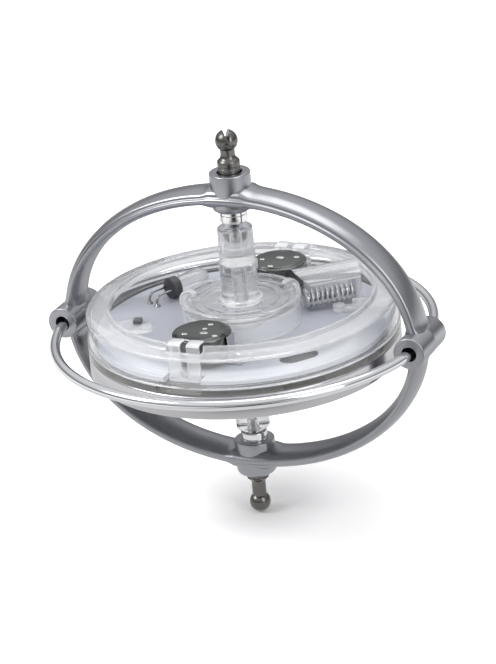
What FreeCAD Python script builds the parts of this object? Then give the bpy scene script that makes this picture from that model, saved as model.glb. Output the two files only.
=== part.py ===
import FreeCAD, Part
import math
import os
from FreeCAD import Placement, Rotation, Vector

# A demonstration gyroscope: a cast hoop and a wire ring carry a clear rotor with a metal rim, a lamp, two
# button cells and a centrifugal switch. +Z is the spin axis, and the origin is the ball foot's lowest point.
# Heights in the sheet count from the plane of the wire ring: up for what lies above it, and as a drop for
# what lies below. X runs from the left side boss to the right one.

doc = FreeCAD.newDocument("Gyroscope")
sheet = doc.addObject("Spreadsheet::Sheet", "Sizes")

X_AXIS = Vector(1, 0, 0)
Y_AXIS = Vector(0, 1, 0)
Z_AXIS = Vector(0, 0, 1)
RIGHT_ANGLE = 90
HALF_TURN = 180
FULL_TURN = 360


class Size:
    # a number together with the formula that gives it in the sheet
    def __init__(self, value, formula):
        self.value = float(value)
        self.formula = formula

    def joined(self, other, sign, value):
        return Size(value, f"({self.formula} {sign} {formula_of(other)})")

    def __add__(self, other):
        return self.joined(other, "+", self.value + number(other))

    def __sub__(self, other):
        return self.joined(other, "-", self.value - number(other))

    def __mul__(self, other):
        return self.joined(other, "*", self.value * number(other))

    def __truediv__(self, other):
        return self.joined(other, "/", self.value / number(other))

    def __neg__(self):
        return Size(-self.value, f"(0 - {self.formula})")

    def __rsub__(self, other):
        return -self + other

    __radd__ = __add__
    __rmul__ = __mul__


def number(value):
    return value.value if isinstance(value, Size) else float(value)


def formula_of(value):
    return value.formula if isinstance(value, Size) else repr(value)


def root(value):
    return Size(math.sqrt(number(value)), f"sqrt({formula_of(value)})")


def cosine(angle):
    return Size(math.cos(math.radians(number(angle))), f"cos({formula_of(angle)})")


def sine(angle):
    return Size(math.sin(math.radians(number(angle))), f"sin({formula_of(angle)})")


rows = 0


def size(name, value):
    # writes one driving dimension to the sheet and gives it back as a Size
    global rows
    rows += 1
    sheet.set(f"A{rows}", name)
    sheet.set(f"B{rows}", str(value))
    sheet.setAlias(f"B{rows}", name)
    return Size(value, f"Sizes.{name}")


# general clearances
overrun = size("overrun", 1.0)
press_gap = size("press_gap", 0.02)
seat_gap = size("seat_gap", 0.1)
running_gap = size("running_gap", 0.05)

# flywheel rim and the wire ring round it
flywheel_radius = size("flywheel_radius", 31.4)
flywheel_width = size("flywheel_width", 5.4)
flywheel_bottom_drop = size("flywheel_bottom_drop", 6.1)
flywheel_bevel = size("flywheel_bevel", 0.6)
ring_gap = size("ring_gap", 5.55)
wire_radius = size("wire_radius", 1.05)
ring_joint_angle = size("ring_joint_angle", 1.0)
ring_drop = size("ring_drop", 0.2)

# cast hoop
hoop_half_height = size("hoop_half_height", 29.98)
hoop_outside_ring = size("hoop_outside_ring", 1.05)
hoop_side_wall = size("hoop_side_wall", 2.92)
hoop_top_wall = size("hoop_top_wall", 3.54)
hoop_width = size("hoop_width", 8.4)
rim_step = size("rim_step", 0.7)
rim_bead_share = size("rim_bead_share", 0.54)
crown_flat = size("crown_flat", 3.8)
crown_fall = size("crown_fall", 0.6)
mouth_depth = size("mouth_depth", 1.8)
mouth_flare = size("mouth_flare", 0.7)
hub_radius = size("hub_radius", 4.1)
hub_round = size("hub_round", 1.1)
hub_bevel = size("hub_bevel", 0.25)
upper_hub_inside = size("upper_hub_inside", 1.34)
upper_hub_outside = size("upper_hub_outside", 3.02)
lower_hub_inside = size("lower_hub_inside", 2.04)
lower_hub_outside = size("lower_hub_outside", 1.92)
boss_radius = size("boss_radius", 3.24)
boss_length = size("boss_length", 12.8)
boss_bore_radius = size("boss_bore_radius", 1.5)
boss_bevel = size("boss_bevel", 0.25)

# pivot screws and bushes
ball_radius = size("ball_radius", 2.25)
foot_radius = size("foot_radius", 2.2)
neck_radius = size("neck_radius", 1.47)
collar_radius = size("collar_radius", 2.25)
collar_gap = size("collar_gap", 0.27)
collar_seat = size("collar_seat", 1.5)
collar_bevel = size("collar_bevel", 0.45)
upper_collar_show = size("upper_collar_show", 2.8)
lower_collar_show = size("lower_collar_show", 1.75)
upper_ball_rise = size("upper_ball_rise", 3.56)
lower_ball_rise = size("lower_ball_rise", 5.1)
shank_radius = size("shank_radius", 1.5)
needle_radius = size("needle_radius", 0.45)
needle_point = size("needle_point", 0.9)
bush_radius = size("bush_radius", 2.72)
bush_bevel = size("bush_bevel", 0.2)
bush_seat = size("bush_seat", 2.0)
upper_bush_show = size("upper_bush_show", 2.4)
lower_bush_show = size("lower_bush_show", 1.8)
string_slot_width = size("string_slot_width", 1.25)
string_slot_root = size("string_slot_root", 0.45)
string_slot_depth = size("string_slot_depth", 2.1)
string_slot_angle = size("string_slot_angle", 34)

# clear base with the board on it
flange_thickness = size("flange_thickness", 1.45)
flange_drop = size("flange_drop", 1.3)
floor_drop = size("floor_drop", 4.6)
floor_thickness = size("floor_thickness", 1.2)
rim_wall = size("rim_wall", 0.95)
spigot_radius = size("spigot_radius", 3.8)
lower_column_radius = size("lower_column_radius", 3.45)
lower_column_bevel = size("lower_column_bevel", 0.8)
lower_column_gap = size("lower_column_gap", 0.6)
board_thickness = size("board_thickness", 1.15)
slot_width = size("slot_width", 9.7)
slot_depth = size("slot_depth", 0.95)
slot_reach = size("slot_reach", 3.0)
board_gap = size("board_gap", 0.8)
lamp_slot_length = size("lamp_slot_length", 8.0)
lamp_slot_width = size("lamp_slot_width", 4.4)
lamp_slot_inset = size("lamp_slot_inset", 2.25)
lamp_slot_angle = size("lamp_slot_angle", 322)

# clear cover
skirt_inset = size("skirt_inset", 0.2)
skirt_height = size("skirt_height", 1.05)
cover_wall = size("cover_wall", 1.0)
cover_height = size("cover_height", 6.4)
cover_round = size("cover_round", 0.5)
ledge_thickness = size("ledge_thickness", 0.9)
ledge_width = size("ledge_width", 3.9)
ledge_lip_width = size("ledge_lip_width", 0.8)
ledge_lip_rise = size("ledge_lip_rise", 1.0)
well_radius = size("well_radius", 24.95)
arm_length = size("arm_length", 5.6)
arm_width = size("arm_width", 2.4)
arm_height = size("arm_height", 0.9)
arm_knob_radius = size("arm_knob_radius", 1.3)
arm_knob_height = size("arm_knob_height", 1.5)
arm_angle = size("arm_angle", 28)

# clear collar, column and cap
collar_cell_gap = size("collar_cell_gap", 1.3)
collar_ring_wall = size("collar_ring_wall", 1.0)
collar_ring_height = size("collar_ring_height", 7.1)
lip_share = size("lip_share", 1.1)
deck_height = size("deck_height", 6.2)
deck_thickness = size("deck_thickness", 1.0)
foot_ring_radius = size("foot_ring_radius", 4.5)
foot_ring_height = size("foot_ring_height", 6.9)
column_radius = size("column_radius", 3.75)
column_ring_width = size("column_ring_width", 1.55)
column_ring_proud = size("column_ring_proud", 0.2)
cap_joint_height = size("cap_joint_height", 14.3)
cap_radius = size("cap_radius", 3.5)
cap_draft = size("cap_draft", 0.15)
cap_gap = size("cap_gap", 1.2)
spindle_bore_radius = size("spindle_bore_radius", 1.16)
ear_radius = size("ear_radius", 2.1)
ear_width = size("ear_width", 1.5)
ear_height = size("ear_height", 5.6)
ear_angle = size("ear_angle", 9)

# thrust cups in the column ends
cup_radius = size("cup_radius", 0.95)
cup_height = size("cup_height", 1.0)
cup_depth = size("cup_depth", 3.1)
dimple_radius = size("dimple_radius", 0.6)
dimple_depth = size("dimple_depth", 0.6)

# button cells, clips and contacts
cell_radius = size("cell_radius", 5.8)
cell_height = size("cell_height", 5.4)
cell_rise = size("cell_rise", 0.7)
cell_round = size("cell_round", 0.45)
cell_angle = size("cell_angle", 270.2)
cell_lid_radius = size("cell_lid_radius", 4.6)
cell_lid_step = size("cell_lid_step", 0.25)
clip_angle = size("clip_angle", 270)
finger_width = size("finger_width", 3.0)
finger_pitch = size("finger_pitch", 4.1)
finger_thickness = size("finger_thickness", 0.75)
finger_rise = size("finger_rise", 0.8)
hook_thickness = size("hook_thickness", 0.65)
hook_reach = size("hook_reach", 2.8)
clip_foot_height = size("clip_foot_height", 0.9)
clip_foot_depth = size("clip_foot_depth", 1.8)
clip_root_run = size("clip_root_run", 1.0)
notch_gap = size("notch_gap", 0.35)
strip_thickness = size("strip_thickness", 0.3)
strip_width = size("strip_width", 3.0)
strip_foot = size("strip_foot", 2.6)
strip_top_drop = size("strip_top_drop", 0.5)
pad_length = size("pad_length", 9.0)

# lamp and small parts on the board
lamp_inset = size("lamp_inset", 3.35)
lamp_place_angle = size("lamp_place_angle", 158.2)
lamp_angle = size("lamp_angle", 62)
lamp_length = size("lamp_length", 9.8)
lamp_radius = size("lamp_radius", 2.15)
holder_radius = size("holder_radius", 2.2)
holder_length = size("holder_length", 2.0)
lead_radius = size("lead_radius", 0.25)
lead_pitch = size("lead_pitch", 2.54)
lead_run = size("lead_run", 4.2)
lead_bend = size("lead_bend", 1.5)
solder_radius = size("solder_radius", 0.7)
solder_height = size("solder_height", 0.6)
chip_length = size("chip_length", 1.8)
chip_width = size("chip_width", 1.6)
chip_height = size("chip_height", 0.9)
chip_inset = size("chip_inset", 3.3)
chip_angle = size("chip_angle", 193.9)

# centrifugal switch, laid out along its own radius
switch_angle = size("switch_angle", 38.5)
switch_height = size("switch_height", 3.75)
spring_radius = size("spring_radius", 2.1)
spring_wire_radius = size("spring_wire_radius", 0.2)
spring_turns = 9
block_inset = size("block_inset", 1.75)
weight_gap = size("weight_gap", 0.8)
spring_end_bend = size("spring_end_bend", 0.5)
weight_head_radius = size("weight_head_radius", 2.1)
weight_head_length = size("weight_head_length", 0.7)
weight_stem_radius = size("weight_stem_radius", 0.8)
weight_stem_length = size("weight_stem_length", 5.9)
switch_travel = size("switch_travel", 1.0)
roof_radius = size("roof_radius", 2.9)
roof_wall = size("roof_wall", 0.6)
roof_height = size("roof_height", 7.0)
roof_overhang = size("roof_overhang", 2.5)
roof_slant = size("roof_slant", 2.9)
roof_offset = size("roof_offset", 1.0)
block_width = size("block_width", 6.0)
block_rise = size("block_rise", 0.6)

doc.recompute()

# heights and radii that follow from the sizes above, from the plane of the wire ring
ring_radius = flywheel_radius + ring_gap + wire_radius
ring_sagitta = ring_radius - root(ring_radius * ring_radius - boss_length * boss_length / 4)
boss_place = ring_radius - ring_sagitta / 2
hoop_outer_span = ring_radius + hoop_outside_ring
hoop_inner_span = hoop_outer_span - hoop_side_wall
hoop_inner_height = hoop_half_height - hoop_top_wall

upper_hub_end = hoop_inner_height + ring_drop - upper_hub_inside
upper_hub_top = hoop_half_height + ring_drop + upper_hub_outside
upper_bush_end = upper_hub_end - upper_bush_show
upper_ball_place = upper_hub_top + upper_collar_show + upper_ball_rise
column_top = upper_bush_end - cap_gap

lower_hub_end = hoop_inner_height - ring_drop - lower_hub_inside
lower_hub_foot = hoop_half_height - ring_drop + lower_hub_outside
lower_bush_end = lower_hub_end - lower_bush_show
lower_ball_place = lower_hub_foot + lower_collar_show + lower_ball_rise
column_foot = lower_bush_end - lower_column_gap
foot_depth = lower_ball_place + foot_radius

board_seat = flange_thickness - flange_drop
board_top = board_seat + board_thickness
cover_radius = flywheel_radius - skirt_inset
cavity_radius = cover_radius - cover_wall
ledge_radius = cavity_radius - ledge_width
board_radius = cavity_radius - board_gap
clip_root = well_radius + clip_root_run
clip_face = clip_root + seat_gap + clip_foot_depth
clip_notch_width = finger_pitch + finger_width + notch_gap * 2
skirt_top = board_seat + skirt_height
flywheel_inner = flywheel_radius - flywheel_width
cell_place = well_radius - seat_gap / 2 - cell_radius
cell_seat = board_top + cell_rise
cell_top = cell_seat + cell_height
deck_underside = deck_height - deck_thickness
collar_ring_radius = cell_place - cell_radius - collar_cell_gap
lamp_place = well_radius - lamp_inset
spring_start = collar_ring_radius + weight_gap + weight_head_length
spring_end = well_radius - block_inset
stem_tip = spring_start + weight_stem_length
roof_start = spring_start - roof_overhang

pieces = []


# helpers

def bind(thing, path, value):
    if isinstance(value, Size):
        thing.setExpression(path, value.formula)


def place(thing, x=0, y=0, z=0, axis=Z_AXIS, turn=0):
    thing.Placement = Placement(Vector(number(x), number(y), number(z)), Rotation(axis, number(turn)))
    bind(thing, "Placement.Base.x", x)
    bind(thing, "Placement.Base.y", y)
    bind(thing, "Placement.Base.z", z)
    bind(thing, "Placement.Rotation.Angle", turn)
    return thing


def cylinder(name, radius, height, x=0, y=0, z=0, axis=Z_AXIS, turn=0):
    thing = doc.addObject("Part::Cylinder", name)
    thing.Radius = number(radius)
    thing.Height = number(height)
    bind(thing, "Radius", radius)
    bind(thing, "Height", height)
    return place(thing, x, y, z, axis, turn)


def lying_cylinder(name, radius, height, x=0, y=0, z=0):
    # a cylinder whose axis runs along +X from its place
    return cylinder(name, radius, height, x, y, z, Y_AXIS, RIGHT_ANGLE)


def box(name, length, width, height, x=0, y=0, z=0):
    # x is the near face, y the middle and z the underside
    thing = doc.addObject("Part::Box", name)
    for path, value in (("Length", length), ("Width", width), ("Height", height)):
        setattr(thing, path, number(value))
        bind(thing, path, value)
    return place(thing, x, y - width / 2 if isinstance(y, Size) else -width / 2 + y, z)


def fuse(name, things):
    thing = doc.addObject("Part::MultiFuse", name)
    thing.Shapes = things
    thing.Refine = True
    return thing


def cut(name, base, tools):
    thing = doc.addObject("Part::Cut", name)
    thing.Base = base
    thing.Tool = tools[0] if len(tools) == 1 else fuse(name + "_tools", tools)
    thing.Refine = True
    return thing


def group(name, things):
    thing = doc.addObject("Part::Compound", name)
    thing.Links = things
    return thing


def swung(name, things, angle):
    # the things turned together about the spin axis
    return place(group(name, things), turn=angle)


def piece(thing, label, angle=0):
    # a finished piece: raised so that the ball foot stands at zero, and turned about the spin axis
    thing.Label = label
    place(thing, z=foot_depth, turn=angle)
    pieces.append(thing)
    return thing


def towards(corner, other, amount):
    # the point that lies the amount away from a corner, along its upright or level edge to the other point
    across = number(other[0]) - number(corner[0])
    upwards = number(other[1]) - number(corner[1])
    if abs(across) > abs(upwards):
        return (corner[0] + amount * math.copysign(1, across), corner[1])
    return (corner[0], corner[1] + amount * math.copysign(1, upwards))


def finished_corners(points):
    # each point is (radius, height), or that with "round" or "bevel" and an amount at a square corner, or
    # with "arc", a radius and a side where an arc leads to the next point
    plain = []
    for index, point in enumerate(points):
        corner, finish = point[:2], point[2:]
        if not finish or finish[0] == "arc":
            plain.append(point)
            continue
        start = towards(corner, points[index - 1], finish[1])
        end = towards(corner, points[(index + 1) % len(points)], finish[1])
        if finish[0] == "round":
            turn = cross(start, corner, end)
            start = (*start, "arc", finish[1], math.copysign(1, turn))
        plain += [start, end]
    return plain


def cross(first, middle, last):
    ahead = (number(middle[0]) - number(first[0]), number(middle[1]) - number(first[1]))
    after = (number(last[0]) - number(middle[0]), number(last[1]) - number(middle[1]))
    return ahead[0] * after[1] - ahead[1] * after[0]


def arc_between(start, end, radius, side):
    # the short arc from start to end whose centre lies to the left for side 1 and to the right for side -1
    chord = end - start
    middle = (start + end) / 2
    reach = math.sqrt(max(radius * radius - chord.Length * chord.Length / 4, 0))
    centre = middle + Vector(-chord.y, chord.x, 0).normalize() * reach * side
    outwards = (middle - centre).normalize() if reach > 0 else Vector(chord.y, -chord.x, 0).normalize() * side
    return Part.Arc(start, centre + outwards * radius, end)


def draw(sketch, points):
    # a closed outline whose corners are held at their sizes
    import Sketcher
    plain = finished_corners(points)
    ends = [Vector(number(point[0]), number(point[1]), 0) for point in plain]
    count = len(plain)
    for index, point in enumerate(plain):
        start, end = ends[index], ends[(index + 1) % count]
        if len(point) > 2:
            sketch.addGeometry(arc_between(start, end, number(point[3]), point[4]))
        else:
            sketch.addGeometry(Part.LineSegment(start, end))
    starts = []
    for index, point in enumerate(plain):
        geometry = sketch.Geometry[index]
        forwards = geometry.StartPoint.isEqual(ends[index], 1e-6)
        starts.append((1, 2) if forwards else (2, 1))
    for index, point in enumerate(plain):
        after = (index + 1) % count
        last, following = starts[index][1], starts[after][0]
        sketch.addConstraint(Sketcher.Constraint("Coincident", index, last, after, following))
        first = starts[index][0]
        for kind, axis, value in (("DistanceX", -2, point[0]), ("DistanceY", -1, point[1])):
            if number(value) == 0:
                sketch.addConstraint(Sketcher.Constraint("PointOnObject", index, first, axis))
                continue
            held = sketch.addConstraint(Sketcher.Constraint(kind, -1, 1, index, first, number(value)))
            bind(sketch, f"Constraints[{held}]", value)
        if len(point) > 2:
            held = sketch.addConstraint(Sketcher.Constraint("Radius", index, number(point[3])))
            bind(sketch, f"Constraints[{held}]", point[3])


def turned(name, points):
    # a body turned about its Z axis from an outline of radii and heights
    body = doc.addObject("PartDesign::Body", name)
    sketch = body.newObject("Sketcher::SketchObject", name + "_outline")
    plane = next(item for item in body.Origin.OriginFeatures if item.Role == "XZ_Plane")
    sketch.AttachmentSupport = [(plane, "")]
    sketch.MapMode = "FlatFace"
    draw(sketch, points)
    spin = body.newObject("PartDesign::Revolution", name + "_turn")
    spin.Profile = sketch
    spin.ReferenceAxis = (sketch, ["V_Axis"])
    spin.Angle = FULL_TURN
    body.Tip = spin
    return body


def sleeve(name, inner, outer, bottom, top):
    return turned(name, [(inner, bottom), (outer, bottom), (outer, top), (inner, top)])


def elliptic_drum(name, half_span, half_height, steps):
    # an upright elliptic drum round the Y axis; each step gives its distance forwards and how far it swells
    outlines = []
    for forwards, swell in steps:
        outline = doc.addObject("Part::Ellipse", f"{name}_outline_{len(outlines)}")
        outline.MajorRadius = number(half_span + swell)
        outline.MinorRadius = number(half_height + swell)
        bind(outline, "MajorRadius", half_span + swell)
        bind(outline, "MinorRadius", half_height + swell)
        outlines.append(place(outline, 0, forwards, ring_drop, X_AXIS, RIGHT_ANGLE))
    drum = doc.addObject("Part::Loft", name)
    drum.Sections = outlines
    drum.Solid = True
    drum.Ruled = True
    return drum


# frame

def frame_hoop():
    bead_span = hoop_inner_span + hoop_side_wall * rim_bead_share
    bead_height = hoop_inner_height + hoop_top_wall * rim_bead_share
    half_width = hoop_width / 2
    shoulder = half_width - rim_step
    crown = crown_flat / 2
    throat = half_width - mouth_depth
    core = elliptic_drum("hoop_core", hoop_outer_span, hoop_half_height,
                         [(-shoulder, -crown_fall), (-crown, 0), (crown, 0), (shoulder, -crown_fall)])
    bead = elliptic_drum("hoop_bead", bead_span, bead_height, [(-half_width, 0), (half_width, 0)])
    opening = elliptic_drum("hoop_opening", hoop_inner_span, hoop_inner_height, [
        (-half_width - overrun, mouth_flare), (-half_width, mouth_flare), (-throat, 0),
        (throat, 0), (half_width, mouth_flare), (half_width + overrun, mouth_flare)])
    band = cut("hoop_band", fuse("hoop_drum", [core, bead]), [opening])
    upper = turned("upper_hub", [
        (0, upper_hub_end), (hub_radius, upper_hub_end, "round", hub_round),
        (hub_radius, upper_hub_top, "bevel", hub_bevel), (0, upper_hub_top)])
    lower = turned("lower_hub", [
        (0, -lower_hub_foot), (hub_radius, -lower_hub_foot, "round", hub_round),
        (hub_radius, -lower_hub_end, "bevel", hub_bevel), (0, -lower_hub_end)])
    bosses = []
    bores = []
    for side, sign in (("left", -1), ("right", 1)):
        boss = turned(side + "_boss", [
            (0, 0), (boss_radius, 0, "bevel", boss_bevel),
            (boss_radius, boss_length, "bevel", boss_bevel), (0, boss_length)])
        bosses.append(place(boss, boss_place * sign, boss_length / 2, ring_drop, X_AXIS, RIGHT_ANGLE))
        bores.append(cylinder(side + "_bore", boss_bore_radius, boss_length + overrun * 2, boss_place * sign,
                              boss_length / 2 + overrun, ring_drop, X_AXIS, RIGHT_ANGLE))
    casting = fuse("hoop_casting", [band, upper, lower] + bosses)
    tools = bores + [
        cylinder("shank_bore", shank_radius + press_gap, upper_hub_top + lower_hub_foot, z=-lower_hub_foot),
        cylinder("upper_collar_bore", collar_radius + collar_gap, collar_seat + overrun,
                 z=upper_hub_top - collar_seat),
        cylinder("lower_collar_bore", collar_radius + collar_gap, collar_seat + overrun,
                 z=-lower_hub_foot - overrun),
        cylinder("upper_bush_bore", bush_radius + press_gap, bush_seat + overrun, z=upper_hub_end - overrun),
        cylinder("lower_bush_bore", bush_radius + press_gap, bush_seat + overrun,
                 z=-lower_hub_end - bush_seat)]
    piece(cut("hoop_bored", casting, tools), "frame_hoop")


def guard_ring():
    ring = doc.addObject("Part::Torus", "wire_ring")
    ring.Radius1 = number(ring_radius)
    ring.Radius2 = number(wire_radius)
    ring.Angle3 = FULL_TURN - number(ring_joint_angle)
    bind(ring, "Radius1", ring_radius)
    bind(ring, "Radius2", wire_radius)
    bind(ring, "Angle3", FULL_TURN - ring_joint_angle)
    piece(ring, "guard_ring", ring_joint_angle / 2)


def pivot_screw(name, hub_face, hub_outer, collar_show, ball_place, radius, tip):
    # drawn with its ball up, so heights count outwards from the plane of the wire ring
    collar_base = hub_outer - collar_seat
    collar_top = hub_outer + collar_show
    shank_start = hub_face + bush_seat
    ball_neck = ball_place - root(radius * radius - neck_radius * neck_radius)
    return turned(name, [
        (0, tip), (needle_radius, tip + needle_point), (needle_radius, shank_start),
        (shank_radius, shank_start), (shank_radius, collar_base), (collar_radius, collar_base),
        (collar_radius, collar_top - collar_bevel), (neck_radius, collar_top),
        (neck_radius, ball_neck, "arc", radius, 1), (radius, ball_place, "arc", radius, 1),
        (0, ball_place + radius)])


def string_slot(ball_top):
    # the slot across the ball: open at the top and narrower at its root
    slot = doc.addObject("Part::Wedge", "string_slot")
    reach = ball_radius + overrun
    for path, value in (("Xmin", -string_slot_root / 2), ("Xmax", string_slot_root / 2), ("Ymin", 0),
                        ("X2min", -string_slot_width / 2), ("X2max", string_slot_width / 2),
                        ("Ymax", string_slot_depth), ("Zmin", -reach), ("Zmax", reach),
                        ("Z2min", -reach), ("Z2max", reach)):
        setattr(slot, path, number(value))
        bind(slot, path, value)
    return place(slot, 0, 0, ball_top - string_slot_depth, X_AXIS, RIGHT_ANGLE)


def pivots():
    upper_tip = column_top - cup_depth + cup_height - dimple_depth + running_gap
    lower_tip = column_foot - cup_depth + cup_height - dimple_depth + running_gap
    stem = pivot_screw("upper_screw_stem", upper_hub_end, upper_hub_top, upper_collar_show,
                       upper_ball_place, ball_radius, upper_tip)
    slot = string_slot(upper_ball_place + ball_radius)
    piece(cut("upper_screw_slotted", stem, [slot]), "upper_pivot_screw", string_slot_angle)
    foot = pivot_screw("lower_screw_stem", lower_hub_end, lower_hub_foot, lower_collar_show,
                       lower_ball_place, foot_radius, lower_tip)
    place(foot, axis=X_AXIS, turn=HALF_TURN)
    piece(group("lower_screw_upside_down", [foot]), "lower_pivot_screw")
    bore = needle_radius + running_gap
    upper_seat = upper_hub_end + bush_seat
    lower_seat = lower_hub_end + bush_seat
    piece(turned("upper_bush_turned", [
        (bore, upper_bush_end), (bush_radius, upper_bush_end, "bevel", bush_bevel),
        (bush_radius, upper_seat), (bore, upper_seat)]), "upper_bush")
    piece(turned("lower_bush_turned", [
        (bore, -lower_seat), (bush_radius, -lower_seat),
        (bush_radius, -lower_bush_end, "bevel", bush_bevel), (bore, -lower_bush_end)]), "lower_bush")


# rotor shells

def flywheel_ring():
    piece(turned("flywheel", [
        (flywheel_inner, -flywheel_bottom_drop),
        (flywheel_radius, -flywheel_bottom_drop, "bevel", flywheel_bevel),
        (flywheel_radius, -flange_drop, "bevel", flywheel_bevel), (flywheel_inner, -flange_drop)]),
        "flywheel_ring")


def rotor_base():
    rim_outer = flywheel_inner - seat_gap
    dish = turned("base_dish", [
        (0, -column_foot), (lower_column_radius, -column_foot, "bevel", lower_column_bevel),
        (lower_column_radius, -floor_drop), (rim_outer, -floor_drop), (rim_outer, -flange_drop),
        (flywheel_radius, -flange_drop), (flywheel_radius, board_seat), (rim_outer - rim_wall, board_seat),
        (rim_outer - rim_wall, floor_thickness - floor_drop), (spigot_radius, floor_thickness - floor_drop),
        (spigot_radius, deck_underside), (0, deck_underside)])
    slots = [swung(f"{side}_flange_slot", [
        box(f"{side}_slot_cut", slot_reach + overrun, slot_width, slot_depth + overrun,
            flywheel_radius - slot_reach, 0, board_seat - slot_depth)], angle)
        for side, angle in (("front", clip_angle), ("rear", clip_angle - HALF_TURN))]
    recess = cylinder("lower_cup_recess", cup_radius + press_gap, cup_depth + overrun,
                      z=-column_foot - overrun)
    piece(cut("base_finished", dish, [recess] + slots), "rotor_base")


def circuit_board():
    disc = sleeve("board_disc", spigot_radius + seat_gap, board_radius, board_seat, board_top)
    slots = []
    slot_place = well_radius - lamp_slot_inset
    for number_of, angle in enumerate((lamp_slot_angle, lamp_slot_angle - HALF_TURN)):
        straight = lamp_slot_length - lamp_slot_width
        cuts = [box(f"lamp_slot_middle_{number_of}", lamp_slot_width, straight, board_thickness + overrun * 2,
                    slot_place - lamp_slot_width / 2, 0, board_seat - overrun)]
        for end in (-1, 1):
            cuts.append(cylinder(f"lamp_slot_end_{number_of}_{end + 1}", lamp_slot_width / 2,
                                 board_thickness + overrun * 2, slot_place, straight / 2 * end,
                                 board_seat - overrun))
        slots.append(place(fuse(f"lamp_slot_{number_of}", cuts), turn=angle))
    notches = [swung(f"{side}_clip_notch", [
        box(f"{side}_notch_cut", board_radius - clip_root + overrun, clip_notch_width,
            board_thickness + overrun * 2, clip_root, 0, board_seat - overrun)], angle)
        for side, angle in (("front", clip_angle), ("rear", clip_angle - HALF_TURN))]
    piece(cut("board_cut", disc, slots + notches), "circuit_board")


def cover_arm(side, angle):
    # an arm that reaches in over the board from the wall, with a round knob at its end
    start = well_radius - arm_length
    bar = box(f"{side}_arm_bar", cavity_radius + cover_wall / 2 - start, arm_width, arm_height,
              start, 0, board_top)
    knob = cylinder(f"{side}_arm_knob", arm_knob_radius, arm_knob_height, start, 0, board_top)
    return place(fuse(f"{side}_arm", [bar, knob]), turn=angle)


def rotor_cover():
    # an outer wall on a skirt, and a ledge with a low lip round the open well and a notch for each cell clip
    lip_top = cover_height + ledge_lip_rise
    lip_outer = ledge_radius + ledge_lip_width
    walls = turned("cover_walls", [
        (ledge_radius, cover_height - ledge_thickness), (ledge_radius, lip_top),
        (lip_outer, lip_top), (lip_outer, cover_height),
        (cover_radius, cover_height, "round", cover_round), (cover_radius, skirt_top),
        (flywheel_radius, skirt_top), (flywheel_radius, board_seat), (cavity_radius, board_seat),
        (cavity_radius, cover_height - ledge_thickness)])
    notches = [swung(f"{side}_ledge_notch", [
        box(f"{side}_ledge_cut", clip_face + notch_gap - ledge_radius + overrun, clip_notch_width,
            ledge_thickness + ledge_lip_rise + overrun * 2, ledge_radius - overrun, 0,
            cover_height - ledge_thickness - overrun)], angle)
        for side, angle in (("front", clip_angle), ("rear", clip_angle - HALF_TURN))]
    piece(fuse("cover_with_arms", [
        cut("cover_notched", walls, notches), cover_arm("right", arm_angle),
        cover_arm("left", arm_angle + HALF_TURN)]), "rotor_cover")


def collar_ear(side, angle):
    ear = cylinder(f"{side}_ear", ear_radius, ear_width, collar_ring_radius - ear_radius / 2,
                   ear_width / 2, ear_height, X_AXIS, RIGHT_ANGLE)
    return swung(f"{side}_ear_swung", [ear], angle)


def hub_collar():
    inner = collar_ring_radius - collar_ring_wall
    ring_edge = column_radius + column_ring_proud
    ring_foot = cap_joint_height - column_ring_width
    lip = collar_ring_wall * lip_share
    body = turned("collar_body", [
        (spindle_bore_radius, deck_underside), (spindle_bore_radius, cap_joint_height),
        (ring_edge, cap_joint_height), (ring_edge, ring_foot), (column_radius, ring_foot),
        (column_radius, foot_ring_height), (foot_ring_radius, foot_ring_height),
        (foot_ring_radius, deck_height),
        (collar_ring_radius - lip, deck_height), (collar_ring_radius - lip, collar_ring_height),
        (collar_ring_radius, collar_ring_height), (collar_ring_radius, board_top), (inner, board_top),
        (inner, deck_underside)])
    ears = [collar_ear("right", ear_angle), collar_ear("left", ear_angle + HALF_TURN)]
    piece(fuse("collar_with_ears", [body] + ears), "hub_collar")


def column_cap():
    foot = cap_radius + cap_draft
    body = turned("cap_body", [
        (0, cap_joint_height), (foot, cap_joint_height), (cap_radius, column_top), (0, column_top)])
    recess = cylinder("upper_cup_recess", cup_radius + press_gap, cup_depth + overrun,
                      z=column_top - cup_depth)
    piece(cut("cap_finished", body, [recess]), "column_cap")


def thrust_cups():
    # each cup sits on the floor of its recess, with its dimple towards the needle
    upper_floor = column_top - cup_depth
    lower_floor = column_foot - cup_depth
    for label, up, floor in (("upper_thrust_cup", 1, upper_floor), ("lower_thrust_cup", -1, lower_floor)):
        face = floor + cup_height
        outline = [(0, floor), (cup_radius, floor), (cup_radius, face), (dimple_radius, face),
                   (0, face - dimple_depth)]
        piece(turned(label + "_turned", [(radius, height * up) for radius, height in outline]), label)


# cells, clips and contacts

def button_cell(label, angle):
    can_top = cell_top - cell_lid_step
    cell = turned(label + "_turned", [
        (0, cell_seat), (cell_radius, cell_seat, "round", cell_round),
        (cell_radius, can_top, "round", cell_round),
        (cell_lid_radius, can_top), (cell_lid_radius, cell_top), (0, cell_top)])
    place(cell, cell_place * cosine(angle), cell_place * sine(angle), foot_depth)
    cell.Label = label
    pieces.append(cell)


def battery_clip(label, angle):
    # a foot bar in a notch of the board, and two fingers up past the ledge, each with a hook over the cell
    near = clip_face - finger_thickness
    finger_top = cell_top + finger_rise
    parts = [box(label + "_foot", clip_foot_depth, finger_pitch + finger_width, clip_foot_height,
                 clip_root + seat_gap, 0, board_seat)]
    for end in (-1, 1):
        middle = finger_pitch / 2 * end
        parts.append(box(f"{label}_finger_{end + 1}", finger_thickness, finger_width,
                         finger_top - board_seat, near, middle, board_seat))
        parts.append(box(f"{label}_hook_{end + 1}", finger_thickness + hook_reach, finger_width,
                         hook_thickness, near - hook_reach, middle, finger_top - hook_thickness))
    piece(fuse(label + "_moulded", parts), label, angle)


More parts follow.
